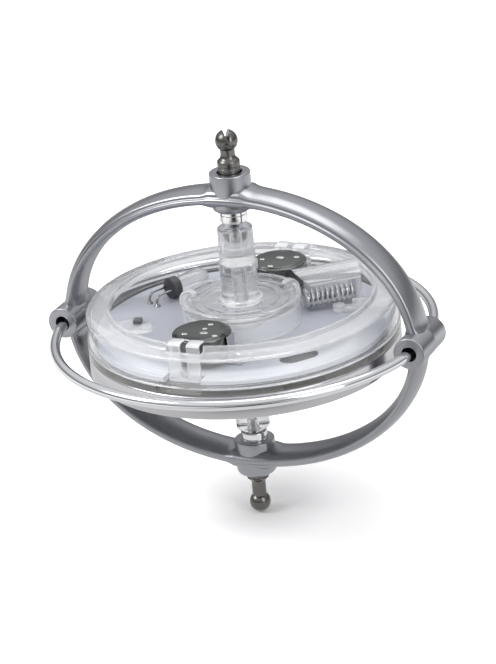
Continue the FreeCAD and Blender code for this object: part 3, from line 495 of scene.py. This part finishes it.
def wireRing():
    bm = bmesh.new()
    made = bmesh.ops.create_circle(bm, cap_ends=True, segments=32, radius=ring["wire"])["verts"]
    turnVerts(made, 90, "X")
    move(bm, made, (ring["radius"], 0, 0))
    turnVerts(made, ring["gap"] / 2)
    bmesh.ops.spin(bm, geom=bm.verts[:] + bm.edges[:] + bm.faces[:], cent=(0, 0, 0), axis=(0, 0, 1),
                   dvec=(0, 0, 0), angle=math.radians(360 - ring["gap"]), steps=240, use_duplicate=False)
    bmesh.ops.recalc_face_normals(bm, faces=bm.faces)
    return blank("wireRing", bm)


finishPiece(wireRing(), "frame", wireBright, ["guard_ring"])

# pivot screws and bushes

pivots = {"neck": 1.45, "collar": 2.25, "ball": 2.25, "foot": 2.18, "upperBall": 39.56, "lowerBall": 38.55,
          "slot": 1.25, "slotRoot": 0.45, "slotDepth": 2.1, "slotTurn": 34, "bush": 2.72, "needle": 0.45}


def pivotScrew(name, tip, seat, floor, top, ballHeight, radius, groove):
    # drawn with its ball up; heights count outwards
    neck, collar, needle = pivots["neck"], pivots["collar"], pivots["needle"]
    start = -math.degrees(math.acos(neck / radius))
    outline = [(0, tip), (needle, tip + 0.9), (needle, seat), (1.48, seat), (1.48, floor),
               (collar, floor, 0.05), (collar, groove - 0.2, 0.08), (collar - 0.14, groove - 0.1),
               (collar - 0.14, groove + 0.1), (collar, groove + 0.2, 0.08), (collar, top - 0.5, 0.2),
               (neck + 0.25, top, 0.15), (neck, top + 0.5, 0.3)]
    outline += arcPoints(ballHeight, radius, start, 90, 22)
    outline[-1] = (0, ballHeight + radius)
    return lathe(outline, steps=72)


upper = pivotScrew("upperPivot", 19.05, 27.32, 31.72, 36.0, pivots["upperBall"], pivots["ball"], 34.3)
upperPivot = blank("upperPivot", upper)
notch = bmesh.new()
slotTop = pivots["upperBall"] + pivots["ball"]
block(notch, (-pivots["slot"] / 2, -4, slotTop - pivots["slotDepth"]), (pivots["slot"] / 2, 4, slotTop), 0)
for vert in notch.verts:
    if vert.co.z < slotTop - 1:
        vert.co.x *= pivots["slotRoot"] / pivots["slot"]
    else:
        vert.co.z += 0.001
turnVerts(notch.verts, pivots["slotTurn"])
combine(upperPivot, [blank("notch", notch)], "DIFFERENCE")
finishPiece(upperPivot, "frame", nickelDull, ["upper_pivot_screw"], sharp=38)

lower = pivotScrew("lowerPivot", 19.15, 26.22, 30.22, 33.45, pivots["lowerBall"], pivots["foot"], 32.6)
turnVerts(lower.verts, 180, "X")
finishPiece(blank("lowerPivot", lower), "frame", nickelDull, ["lower_pivot_screw"], sharp=38)

for name, node, end, seat in (("upperBush", "upper_bush", 22.9, hoop["upperSeat"]),
                              ("lowerBush", "lower_bush", -22.4, hoop["lowerSeat"])):
    way = 1 if seat > end else -1
    tube = lathe([(0.5, end + 0.45 * way), (1.5, end, 0.1), (pivots["bush"], end, 0.22),
                  (pivots["bush"], end + 1.5 * way), (pivots["bush"] - 0.08, end + 1.6 * way),
                  (pivots["bush"], end + 1.7 * way), (pivots["bush"], seat), (0.5, seat)], steps=96)
    finishPiece(blank(name, tube), "frame", chromeBush, [node])
print("frame body made")

# heavy rim

flywheel = {"inner": 26.0, "outer": 31.4, "top": -1.32, "foot": -6.1}
rim = lathe([(flywheel["inner"], flywheel["foot"], 0.2), (flywheel["outer"], flywheel["foot"], 0.5),
             (flywheel["outer"], flywheel["top"], 0.45), (flywheel["inner"], flywheel["top"], 0.15)],
            steps=200, corners=5)
finishPiece(blank("flywheelRim", rim), "rotor", rimTurned, ["flywheel_ring"])

# clear base with its slots for the cell clips

base = {"column": 3.45, "foot": -21.8, "floor": -4.6, "deck": -3.4, "rim": 25.88, "wall": 24.95,
        "flange": 31.4, "under": -1.3, "seat": 0.12, "spigot": 3.8, "spigotTop": 5.15, "slotWidth": 9.7,
        "slotReach": 3.0, "slotFloor": -0.8, "recess": 0.97, "recessTop": -18.7}
clipTurns = (270, 90)


def clearBase():
    recess = base["recess"]
    bm = lathe([(0, base["recessTop"]), (recess, base["recessTop"]), (recess, base["foot"], 0.15),
                (base["column"], base["foot"], 0.75), (base["column"], base["floor"], 0.6),
                (base["rim"], base["floor"], 0.5), (base["rim"], base["under"], 0.1),
                (base["flange"], base["under"], 0.15), (base["flange"], base["seat"], 0.12),
                (base["wall"], base["seat"], 0.1), (base["wall"], base["deck"], 0.4),
                (base["spigot"], base["deck"], 0.4), (base["spigot"], base["spigotTop"], 0.2),
                (0, base["spigotTop"])], steps=180)
    obj = blank("clearBase", bm)
    half = base["slotWidth"] / 2
    combine(obj, [turnedBlock((base["flange"] - base["slotReach"], -half, base["slotFloor"]),
                              (base["flange"] + 1, half, 1), turn) for turn in clipTurns], "DIFFERENCE")
    return obj


finishPiece(clearBase(), "rotor", clearDish, ["rotor_base"])

# clear cover: skirt, wall and ledge with a low lip round the open well, and two hooked arms over the board

cover = {"skirt": 31.4, "outer": 31.2, "cavity": 30.2, "edge": 26.3, "lipOuter": 27.1, "lipTop": 7.4,
         "well": 24.95, "seat": 0.17, "skirtTop": 1.2, "board": 1.32, "top": 6.4, "ledge": 5.5,
         "notch": 28.2, "notchWidth": 7.8, "armTurns": (28, 208)}


def clearCover():
    bm = lathe([(cover["edge"], cover["ledge"], 0.2), (cover["edge"], cover["lipTop"], 0.25),
                (cover["lipOuter"], cover["lipTop"], 0.25), (cover["lipOuter"], cover["top"], 0.15),
                (cover["outer"], cover["top"], 0.5), (cover["outer"], cover["skirtTop"], 0.08),
                (cover["skirt"], cover["skirtTop"] - 0.05, 0.08), (cover["skirt"], cover["seat"], 0.08),
                (cover["cavity"], cover["seat"], 0.1), (cover["cavity"], cover["ledge"], 0.4)], steps=200)
    obj = blank("clearCover", bm)
    half = cover["notchWidth"] / 2
    combine(obj, [turnedBlock((cover["edge"] - 1, -half, cover["ledge"] - 1),
                              (cover["notch"], half, cover["lipTop"] + 1), turn)
                  for turn in clipTurns], "DIFFERENCE")
    return obj


shell = finishPiece(clearCover(), "rotor", clearWall, ["rotor_cover"])
markFaces(shell, clearLedge, lambda away, height, level: height > cover["ledge"] - 0.1)

armShape = {"length": 5.6, "width": 2.4, "height": 0.9, "round": 0.25, "knob": 1.3, "knobHeight": 1.5,
            "knobRound": 0.35, "ribStart": 2.6, "ribInset": 1.5, "ribLow": 0.2, "ribHeight": 2.6}
for index, turn in enumerate(cover["armTurns"]):
    start, half, foot = cover["well"] - armShape["length"], armShape["width"] / 2, cover["board"] + 0.01
    bm, knob, rib = bmesh.new(), bmesh.new(), bmesh.new()
    block(bm, (start, -half, foot), (cover["cavity"] - 0.02, half, cover["board"] + armShape["height"]),
          armShape["round"])
    rod(knob, (start, 0, foot), (start, 0, cover["board"] + armShape["knobHeight"]), armShape["knob"], 40,
        armShape["knobRound"])
    block(rib, (start + armShape["ribStart"], -half, cover["board"] + armShape["ribLow"]),
          (cover["well"] - 0.02, half - armShape["ribInset"], cover["board"] + armShape["ribHeight"]),
          armShape["round"])
    arm = blank("boardHook" + str(index), bm)
    combine(arm, [blank("knob", knob), blank("rib", rib)], "UNION")
    swing(arm, turn)
    finishPiece(arm, "rotor", clearEar)

# clear collar with its deck and column, and the cap over it

collar = {"ring": 12.0, "wall": 1.0, "top": 7.1, "deck": 6.2, "under": 5.2, "foot": 4.5, "footTop": 6.9,
          "column": 3.75, "ringAt": 12.75, "ringOut": 3.95, "joint": 14.3, "bore": 1.16, "boardTop": 1.34,
          "lip": 1.1, "ribs": (9.5, 7.5), "ribShape": ((0.25, 0), (0.2, 0.3), (-0.2, 0.3), (-0.25, 0)),
          "earTurns": (52, 186), "ear": 2.1, "earPlace": 10.95, "earHalf": 0.75, "earHeight": 5.6}


def hubCollar():
    inner = collar["ring"] - collar["wall"]
    lip = collar["ring"] - collar["lip"]
    bm = lathe([(collar["bore"], collar["under"]), (inner, collar["under"], 0.3),
                (inner, collar["boardTop"], 0.1), (collar["ring"], collar["boardTop"], 0.1),
                (collar["ring"], collar["top"], 0.3), (lip, collar["top"], 0.3), (lip, collar["deck"], 0.35),
                *[(rib + side, collar["deck"] + rise) for rib in collar["ribs"]
                  for side, rise in collar["ribShape"]],
                (collar["foot"], collar["deck"], 0.25), (collar["foot"], collar["footTop"], 0.25),
                (collar["column"], collar["footTop"], 0.3), (collar["column"], collar["ringAt"], 0.1),
                (collar["ringOut"], collar["ringAt"] + 0.1, 0.08),
                (collar["ringOut"], collar["joint"] - 0.05, 0.12),
                (collar["bore"], collar["joint"] - 0.05)], steps=144)
    obj = blank("hubCollar", bm)
    ears = []
    for turn in collar["earTurns"]:
        ear = bmesh.new()
        made = rod(ear, (collar["earPlace"], -collar["earHalf"], collar["earHeight"]),
                   (collar["earPlace"], collar["earHalf"], collar["earHeight"]), collar["ear"], 48, 0.3)
        turnVerts(made, turn)
        ears.append(blank("ear", ear))
    combine(obj, ears, "UNION")
    return obj


hub = finishPiece(hubCollar(), "rotor", clearColumn, ["hub_collar"])
# the ring and the foot of the column are milkier than the deck, and the ears are whiter still
markFaces(hub, clearEar, lambda away, height, level: away > collar["ring"] - collar["wall"] - 0.1
          or away < collar["foot"] + 0.1 and 0.05 < height - collar["deck"] < 1.0)
markFaces(hub, clearClip, lambda away, height, level: away > collar["ring"] + 0.05
          or height > collar["top"] + 0.05 and away > 8)
cap = lathe([(0, collar["joint"] + 0.02), (3.65, collar["joint"] + 0.02, 0.1), (3.5, 21.7, 0.35),
             (0.97, 21.7, 0.1), (0.97, 18.6), (0, 18.6)], steps=96)
finishPiece(blank("columnCap", cap), "rotor", clearColumn, ["column_cap"])

for name, node, floor, way in (("upperCup", "upper_thrust_cup", 18.62, 1),
                               ("lowerCup", "lower_thrust_cup", -18.72, -1)):
    cup = lathe([(0, floor), (0.94, floor, 0.08), (0.94, floor + way, 0.08), (0.6, floor + way),
                 (0, floor + 0.4 * way)], steps=48)
    finishPiece(blank(name, cup), "rotor", steelSmall, [node])
print("clear shells made")

# board with two lamp cut-outs and two notches for the clips

board = {"hole": 3.92, "radius": 29.38, "low": 0.17, "top": 1.3, "slotPlace": 22.7, "slotTurns": (322, 142),
         "slotWidth": 4.4, "slotLength": 8.0, "notch": 25.95, "notchWidth": 7.8, "cut": (-1, 3),
         "pocket": (-0.5, 0.45)}


def circuitBoard():
    bm = lathe([(board["hole"], board["low"], 0.05), (board["radius"], board["low"], 0.1),
                (board["radius"], board["top"], 0.1), (board["hole"], board["top"], 0.05)], steps=180)
    obj = blank("circuitBoard", bm)
    cutters = []
    place, half, (low, high) = board["slotPlace"], board["slotWidth"] / 2, board["cut"]
    reach = board["slotLength"] / 2 - half
    for turn in board["slotTurns"]:
        cutters.append(turnedBlock((place - half, -reach, low), (place + half, reach, high), turn))
        for end in (-1, 1):
            cutter = bmesh.new()
            turnVerts(rod(cutter, (place, reach * end, low), (place, reach * end, high), half, 40), turn)
            cutters.append(blank("slotEnd", cutter))
    half = board["notchWidth"] / 2
    for turn in clipTurns:
        cutters.append(turnedBlock((board["notch"], -half, low), (board["radius"] + 1, half, high), turn))
    combine(obj, cutters, "DIFFERENCE")
    return obj


boardPiece = finishPiece(circuitBoard(), "rotor", boardGreyWithPaintedLight, ["circuit_board"])
# the walls of the lamp cut-outs are painted dark, painted shade in the recess
markFaces(boardPiece, slotShade, lambda away, height, level: level < 0.1
          and board["hole"] + 1 < away < board["notch"] - 0.5)

# what lies under the cut-outs cannot be seen in the photo, so each ends in a dark pocket, painted shade for
# the depth of the cut-out
for index, turn in enumerate(board["slotTurns"]):
    pocket = bmesh.new()
    half, reach = board["slotWidth"] / 2 - 0.02, board["slotLength"] / 2 - 0.02
    low, high = board["pocket"]
    block(pocket, (board["slotPlace"] - half, -reach, low), (board["slotPlace"] + half, reach, high), 0)
    upright = [edge for edge in pocket.edges if abs(edge.verts[0].co.z - edge.verts[1].co.z) > 0.5]
    soften(pocket, upright, half - 0.05, 10)
    turnVerts(pocket.verts, turn)
    finishPiece(blank("slotPocket" + str(index), pocket), "rotor", slotShade)

# button cells with small plain pips on their lids, made bright as painted highlights

cell = {"radius": 5.8, "place": 19.1, "turns": {"front": 270.2, "rear": 90.2}, "low": 2.02, "can": 7.15,
        "lid": 7.4, "lidRadius": 5.0, "pip": 0.55, "pipShape": (1.3, 0.9, 0.2),
        "pips": {"front": ((-2.5, -2.5, 0.95), (1.05, -1.2, 1.25), (0.4, 0.7, 0.8), (0.65, 3.0, 0.9),
                           (3.8, -2.1, 0.85)),
                 "rear": ((0.0, 4.1, 0.9), (-0.1, -0.75, 1.3), (-3.35, -1.65, 0.9), (3.2, 0.9, 0.8))}}


def besideCell(name, bm, turn):
    # brings a shape drawn round a cell's own axis to that cell
    obj = blank(name, bm)
    shift = Matrix.Rotation(math.radians(turn), 4, "Z") @ Matrix.Translation((cell["place"] * 0.001, 0, 0))
    obj.data.transform(shift @ Matrix.Rotation(math.radians(90), 4, "Z"))
    return obj


def buttonCell(name, turn):
    bm = lathe([(0, cell["low"]), (4.9, cell["low"], 0.2), (cell["radius"], cell["low"] + 0.35, 0.3),
                (cell["radius"], cell["can"] - 0.1, 0.3), (cell["lidRadius"] + 0.15, cell["can"], 0.05),
                (cell["lidRadius"], cell["lid"] - 0.02, 0.12), (0, cell["lid"])], steps=96)
    return besideCell(name, bm, turn)


for side, turn in cell["turns"].items():
    finishPiece(buttonCell("cell" + side.capitalize(), turn), "rotor", cellDark,
                ["battery_" + side])
    bm = bmesh.new()
    length, width, height = cell["pipShape"]
    for x, y, scale in cell["pips"][side]:
        made = bmesh.ops.create_uvsphere(bm, u_segments=20, v_segments=12, radius=cell["pip"])["verts"]
        bmesh.ops.scale(bm, verts=made, vec=(length * scale, width * scale, height))
        move(bm, made, (x, y, cell["lid"] - 0.02))
    finishPiece(besideCell("pips" + side.capitalize(), bm, turn), "rotor", cellPipGlint)

# clear clips: two fingers up past the ledge, each with a hook over the cell, on a foot in the board's notch

clip = {"near": 27.12, "face": 27.85, "width": 2.6, "pitch": 4.05, "low": 0.17, "top": 7.98, "hook": 24.7,
        "hookThick": 0.52, "round": 0.15, "paintedHighlightFrom": 7.2, "footNear": 26.05, "footLow": 0.175,
        "footTop": 1.05}


def cellClip(name, turn):
    near, face, low, top, hook, half = (
        clip["near"], clip["face"], clip["low"], clip["top"], clip["hook"], clip["width"] / 2)
    under = top - clip["hookThick"]
    outline = ((face, low), (face, top - 0.6), (face - 0.12, top - 0.28), (face - 0.45, top - 0.05),
               (face - 0.9, top), (hook + 0.6, top - 0.04), (hook + 0.15, top - 0.2), (hook, top - 0.45),
               (hook + 0.1, under + 0.05), (hook + 0.5, under), (near - 0.35, under), (near, under - 0.35),
               (near, low))
    parts = []
    for end in (-1, 1):
        side = clip["pitch"] / 2 * end
        bm = bmesh.new()
        profile = bm.faces.new([bm.verts.new((x, side - half, z)) for x, z in outline])
        pullOut(bm, [profile], (0, clip["width"], 0))
        bmesh.ops.recalc_face_normals(bm, faces=bm.faces)
        rims = [edge for edge in bm.edges if abs(edge.verts[0].co.y - edge.verts[1].co.y) < 1e-6]
        soften(bm, rims, clip["round"])
        parts.append(blank("finger", bm))
    reach = clip["pitch"] / 2 + half - 0.01
    bm = bmesh.new()
    block(bm, (clip["footNear"] + 0.01, -reach, clip["footLow"]), (face - 0.02, reach, clip["footTop"]), 0)
    obj = blank(name, bm)
    combine(obj, parts, "UNION")
    swing(obj, turn)
    return obj


for side, turn in zip(("front", "rear"), clipTurns):
    piece = finishPiece(cellClip("clip" + side.capitalize(), turn), "rotor", clearClip,
                        ["battery_clip_" + side])
    # above that height the hooks take a milkier, whiter material, a painted highlight
    markFaces(piece, clearFinger, lambda away, height, level: height < clip["paintedHighlightFrom"])

# sprung contact strips beside the cells: an upright, a foot, a pad under the cell and a rounded contact ridge

strip = {"near": 5.9, "far": 6.2, "half": 1.5, "top": 6.9, "footFar": 8.5, "footTop": 1.62, "padStart": -2.8,
         "padTop": 2.01, "ridge": 0.16, "ridgePlace": 5.98, "ridgeHeight": 5.0, "ridgeHalf": 1.4}
for side, turn in cell["turns"].items():
    bm = bmesh.new()
    for start, end, top in ((strip["near"], strip["far"], strip["top"]),
                            (strip["near"], strip["footFar"], strip["footTop"]),
                            (strip["padStart"], strip["far"], strip["padTop"])):
        block(bm, (start, -strip["half"], cover["board"]), (end, strip["half"], top), 0.1)
    rod(bm, (strip["ridgePlace"], -strip["ridgeHalf"], strip["ridgeHeight"]),
        (strip["ridgePlace"], strip["ridgeHalf"], strip["ridgeHeight"]), strip["ridge"], 16)
    finishPiece(besideCell("contact" + side.capitalize(), bm, turn), "rotor", steelSmall,
                ["contact_" + side])
print("cells and clips made")

# lamp on its side, its leads, and small parts on the board

lamp = {"place": 21.6, "placeTurn": 158.2, "turn": 62, "height": 3.55, "holder": 2.2, "holderLength": 2.0,
        "lens": 2.15, "length": 9.8, "lead": 0.25, "pitch": 2.54, "run": 4.2, "bend": 1.5,
        "solder": {"foot": 0.7, "top": 0.24, "height": 0.55, "middle": 1.6}}


def lampPiece(name, bm):
    # brings a shape drawn along the lamp's own axis to its place
    angle = math.radians(lamp["placeTurn"])
    spot = Vector((lamp["place"] * math.cos(angle), lamp["place"] * math.sin(angle), 0)) * 0.001
    obj = blank(name, bm)
    obj.data.transform(Matrix.Translation(spot) @ Matrix.Rotation(math.radians(lamp["turn"]), 4, "Z"))
    return obj


joint = lamp["holderLength"] - 0.02
holder = lying([(0, 0), (lamp["holder"], 0, 0.35), (lamp["holder"], joint, 0.25), (0, joint)],
               lamp["height"], 64)
finishPiece(lampPiece("lampHolder", holder), "rotor", holderDark, ["lamp_holder"])

tip = lamp["length"] - lamp["lens"]
dome = [(point[0], point[1]) for point in arcPoints(tip, lamp["lens"], 0, 90, 14)]
dome[-1] = (0, lamp["length"])
joint = lamp["holderLength"] + 0.02
lens = lying([(0, joint), (lamp["lens"], joint, 0.1)] + dome, lamp["height"], 64)
finishPiece(lampPiece("lampLens", lens), "rotor", clearLens, ["lamp_lens"])


def lampLeads():
    # each lead runs level from the holder, bends down, and ends in a cone of solder on the board
    bm = bmesh.new()
    turnAt, drop = lamp["bend"] - lamp["run"], lamp["height"] - lamp["bend"]
    solder = lamp["solder"]
    for end in (-1, 1):
        side = lamp["pitch"] / 2 * end
        first = bmesh.ops.create_circle(bm, cap_ends=True, segments=14, radius=lamp["lead"])["verts"]
        turnVerts(first, 90, "Y")
        move(bm, first, (0, side, lamp["height"]))
        face = [f for f in bm.faces if all(v in first for v in f.verts)]
        _, face = pullOut(bm, face, (turnAt, 0, 0))
        bent = bmesh.ops.spin(bm, geom=face, cent=(turnAt, side, drop), axis=(0, -1, 0), dvec=(0, 0, 0),
                              angle=math.radians(90), steps=8, use_duplicate=False)["geom_last"]
        last, _ = pullOut(bm, [item for item in bent if isinstance(item, bmesh.types.BMFace)], (0, 0, 0))
        for vert in last:
            vert.co.z = cover["board"]
        cone = bmesh.ops.create_cone(bm, cap_ends=True, segments=24, radius1=solder["foot"],
                                     radius2=solder["top"], depth=solder["height"])["verts"]
        move(bm, cone, (-lamp["run"], side, solder["middle"]))
    bmesh.ops.recalc_face_normals(bm, faces=bm.faces)
    return lampPiece("lampLeads", bm)


finishPiece(lampLeads(), "rotor", leadGrey, ["lamp_leads"])

chip = {"place": 21.65, "turn": 193.9, "width": 1.6, "length": 1.8, "top": 2.2}
bm = bmesh.new()
block(bm, (chip["place"] - chip["width"] / 2, -chip["length"] / 2, cover["board"]),
      (chip["place"] + chip["width"] / 2, chip["length"] / 2, chip["top"]), 0.12)
turnVerts(bm.verts, chip["turn"])
finishPiece(blank("driverChip", bm), "rotor", chipDark, ["driver_chip"])

# centrifugal switch: clear roof and block, weight, pin and spring

switch = {"turn": 38.5, "height": 3.75, "start": 13.5, "end": 23.2, "far": 24.5, "head": 2.1,
          "headLength": 0.7, "stem": 0.8, "stemLength": 5.9, "pinStart": 20.45, "roof": 2.9, "roofWall": 0.6,
          "roofHeight": 7.0, "roofStart": 11.0, "slant": 2.9, "offset": 1.0, "foot": 1.34, "block": 6.0,
          "blockRise": 0.6, "rib": 0.22, "ribInset": 0.25, "crestRib": 0.2, "coil": 1.85, "wire": 0.2,
          "turns": 9, "travel": 1.0}


def switchHousing():
    bm, back, endBlock = bmesh.new(), bmesh.new(), bmesh.new()
    radius, wall, height, offset, half = (
        switch["roof"], switch["roofWall"], switch["roofHeight"], switch["offset"], switch["block"] / 2)
    near, far = switch["roofStart"], switch["far"]
    first = bm.verts.new((near, offset - radius, height))
    second = bm.verts.new((near, offset - radius + wall, height))
    edge = bm.edges.new((first, second))
    bmesh.ops.spin(bm, geom=[first, second, edge], cent=(near, offset, height), axis=(-1, 0, 0),
                   dvec=(0, 0, 0), angle=math.radians(180), steps=28, use_duplicate=False)
    pullOut(bm, bm.faces[:], (far - near, 0, 0))
    for vert in bm.verts:
        if vert.co.x < near + 0.01:
            vert.co.x += switch["slant"] * (1 - (vert.co.z - height) / radius)
    bmesh.ops.recalc_face_normals(bm, faces=bm.faces)
    roof = blank("switchHousing", bm)
    block(back, (near + switch["slant"], offset + radius - wall, switch["foot"]),
          (far, offset + radius - 0.01, height + 0.01), 0)
    block(endBlock, (switch["end"] + 0.01, offset - half, switch["foot"]),
          (far + 0.01, offset + half, height + switch["blockRise"]), 0.2)
    combine(roof, [blank("back", back), blank("end", endBlock)], "UNION")
    swing(roof, switch["turn"])
    return roof


finishPiece(switchHousing(), "rotor", clearRoof, ["switch_housing"])

# bright ribs along the roof's lower front edge and its crest, painted highlights on those edges
ribs = bmesh.new()
edge, level = switch["offset"] - switch["roof"] + switch["ribInset"], switch["roofHeight"] + 0.05
crest = switch["roofHeight"] + switch["roof"] - 0.22
rod(ribs, (switch["roofStart"] + switch["slant"], edge, level), (switch["far"] - 0.1, edge, level),
    switch["rib"], 16)
rod(ribs, (switch["roofStart"] + 0.3, switch["offset"], crest),
    (switch["far"] - 0.1, switch["offset"], crest), switch["crestRib"], 16)
turnVerts(ribs.verts, switch["turn"])
finishPiece(blank("roofHighlightRibs", ribs), "rotor", clearClip)


def lyingSwitch(name, points):
    bm = lying(points, switch["height"], 48)
    turnVerts(bm.verts, switch["turn"])
    return blank(name, bm)


near, seat = switch["start"] - switch["headLength"], switch["start"] - 0.01
tip = switch["start"] + switch["stemLength"]
weight = lyingSwitch("switchWeight", [(0, near), (switch["head"], near, 0.3), (switch["head"], seat, 0.12),
                                      (switch["stem"], seat), (switch["stem"], tip, 0.2), (0, tip)])
finishPiece(weight, "switch", steelSmall, ["switch_weight"])
pin = lyingSwitch("switchPin", [(0, switch["pinStart"]), (switch["stem"], switch["pinStart"], 0.15),
                                (switch["stem"], switch["end"]), (0, switch["end"])])
finishPiece(pin, "rotor", steelSmall, ["switch_contact"])


def springCoil():
    # an open coil between the weight's head and the end block
    bm = bmesh.new()
    wire, turns, rounds = switch["wire"], switch["turns"], 32
    made = bmesh.ops.create_circle(bm, cap_ends=True, segments=12, radius=wire)["verts"]
    first, last = switch["start"] + wire, switch["end"] - wire
    move(bm, made, (first, switch["coil"] - wire, 0))
    bmesh.ops.spin(bm, geom=bm.verts[:] + bm.edges[:] + bm.faces[:], cent=(0, 0, 0), axis=(1, 0, 0),
                   dvec=((last - first) / (turns * rounds), 0, 0), angle=-fullTurn * turns,
                   steps=turns * rounds, use_duplicate=False)
    bmesh.ops.recalc_face_normals(bm, faces=bm.faces)
    move(bm, bm.verts, (0, 0, switch["height"]))
    turnVerts(bm.verts, switch["turn"])
    return blank("springCoil", bm)


# the coil, held by the end block, gets a mesh of its own
coil = finishPiece(springCoil(), "rotor", springWire, ["switch_spring"])
length = switch["end"] - switch["start"]
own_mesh(coil)
print("switch made")

# floor, light and camera

camera = {"azimuth": 25.828, "elevation": 22.361, "roll": -5.369, "distance": 0.58132, "right": 0.000791,
          "up": -0.000925, "lens": 157.55}
studio = {"floor": 0.8, "shown": 1.0, "glow": 0.22, "near": 0.85, "side": 1.15, "dark": 0.05, "far": 0.75,
          "strip": (0.02, 0.12), "ringStart": (0.085, 0.14), "ringEnd": (0.3, 0.5), "tip": (0.002, 0.018),
          "sky": ((0.0, (0.16, 0.16, 0.17, 1)), (0.22, (0.34, 0.34, 0.35, 1)), (0.45, (0.78, 0.78, 0.79, 1)),
                  (1.0, (0.95, 0.95, 0.96, 1)))}
softLights = {"keyLight": {"spot": (-0.42, -0.30, 0.52), "power": 2.6, "size": (0.35, 0.35)},
              "fillLight": {"spot": (0.55, -0.25, 0.30), "power": 1.25, "size": (0.3, 0.5)},
              "topLight": {"spot": (0.05, 0.20, 0.70), "power": 1.35, "size": (0.5, 0.4)}}


def paleFloor():
    bm = bmesh.new()
    bmesh.ops.create_circle(bm, cap_ends=True, segments=64, radius=6)
    mesh = bpy.data.meshes.new("paleFloor")
    bm.to_mesh(mesh)
    bm.free()
    obj = newObject("paleFloor", mesh)
    material, tree, shader = newMaterial("floorPale")
    link = tree.links.new
    setInputs(shader, Roughness=1.0, Specular_IOR_Level=0.0)
    path, seen = seenRays(tree)

    def ramp(source, limits, low, high):
        node = addNode(tree, "ShaderNodeMapRange", interpolation_type="SMOOTHSTEP")
        fill(tree, node.inputs[:5], (source, *limits, low, high))
        return node.outputs[0]

    def blend(factor, first, second):
        node = addNode(tree, "ShaderNodeMix", data_type="FLOAT")
        fill(tree, node.inputs[:1] + node.inputs[2:4], (factor, first, second))
        return node.outputs[0]

    # metal sees a white floor near the object, then a dark strip towards the camera between paler sides
    place = addNode(tree, "ShaderNodeTexCoord")
    across = addNode(tree, "ShaderNodeVectorMath", operation="DOT_PRODUCT")
    azimuth = math.radians(camera["azimuth"])
    across.inputs[1].default_value = (math.cos(azimuth), math.sin(azimuth), 0)
    away = addNode(tree, "ShaderNodeMath", operation="ABSOLUTE")
    distance = addNode(tree, "ShaderNodeVectorMath", operation="LENGTH")
    link(place.outputs["Object"], across.inputs[0])
    link(across.outputs["Value"], away.inputs[0])
    link(place.outputs["Object"], distance.inputs[0])
    band = blend(ramp(away.outputs[0], studio["strip"], 0.0, 1.0), studio["dark"], studio["side"])
    inner = blend(ramp(distance.outputs["Value"], studio["ringStart"], 0.0, 1.0), studio["near"], band)
    mirrored = blend(ramp(distance.outputs["Value"], studio["ringEnd"], 0.0, 1.0), inner, studio["far"])
    lit = blend(seen, studio["floor"], studio["shown"])
    link(blend(path.outputs["Is Glossy Ray"], lit, 0.0), shader.inputs["Base Color"])
    # for the camera the floor's glow fades out towards the tip, a painted shadow round the point it stands on
    glow = addNode(tree, "ShaderNodeEmission")
    shadowedGlow = ramp(distance.outputs["Value"], studio["tip"], 0.0, studio["glow"])
    link(blend(path.outputs["Is Glossy Ray"], blend(seen, 0.0, shadowedGlow), mirrored),
         glow.inputs["Strength"])
    total = addNode(tree, "ShaderNodeAddShader")
    link(shader.outputs[0], total.inputs[0])
    link(glow.outputs[0], total.inputs[1])
    link(total.outputs[0], tree.nodes["Material Output"].inputs["Surface"])
    mesh.materials.append(material)


def softLight(name, values):
    data = bpy.data.lights.new(name, "AREA")
    data.energy = values["power"]
    data.shape = "RECTANGLE"
    data.size, data.size_y = values["size"]
    light = newObject(name, data)
    light.location = values["spot"]
    light.rotation_mode = "QUATERNION"
    light.rotation_quaternion = (Vector((0, 0, 0.04)) - light.location).to_track_quat("-Z", "Y")


def studioWorld():
    world = bpy.data.worlds.new("studioWorld")
    scene.world = world
    world.use_nodes = True
    tree = world.node_tree
    back = tree.nodes["Background"]
    link = tree.links.new
    _, seen = seenRays(tree)
    place = addNode(tree, "ShaderNodeTexCoord")
    parts = addNode(tree, "ShaderNodeSeparateXYZ")
    ramp = addNode(tree, "ShaderNodeValToRGB")
    link(place.outputs["Generated"], parts.inputs[0])
    link(parts.outputs[2], ramp.inputs[0])
    stops = ramp.color_ramp.elements
    stops[0].position, stops[0].color = studio["sky"][0]
    stops[1].position, stops[1].color = studio["sky"][-1]
    for position, colour in studio["sky"][1:-1]:
        stops.new(position).color = colour
    link(mixTone(tree, seen, ramp.outputs[0], (1, 1, 1, 1)), back.inputs["Color"])


paleFloor()
studioWorld()
for name, values in softLights.items():
    softLight(name, values)


def photoCamera():
    azimuth, elevation, roll = (math.radians(camera[key]) for key in ("azimuth", "elevation", "roll"))
    back = Vector((math.sin(azimuth) * math.cos(elevation), -math.cos(azimuth) * math.cos(elevation),
                   math.sin(elevation)))
    level = Vector((math.cos(azimuth), math.sin(azimuth), 0))
    upright = back.cross(level)
    right = level * math.cos(roll) + upright * math.sin(roll)
    up = upright * math.cos(roll) - level * math.sin(roll)
    spot = right * camera["right"] + up * camera["up"] + back * camera["distance"]
    spot += Vector((0, 0, lift * 0.001))
    data = bpy.data.cameras.new("photoCamera")
    data.lens = camera["lens"]
    data.sensor_width = 36
    data.clip_start = 0.01
    data.clip_end = 20
    obj = newObject("photoCamera", data)
    obj.matrix_world = Matrix.Translation(spot) @ Matrix((right, up, back)).transposed().to_4x4()
    scene.camera = obj


photoCamera()
scene.view_settings.view_transform = "Standard"
print("camera and light set")
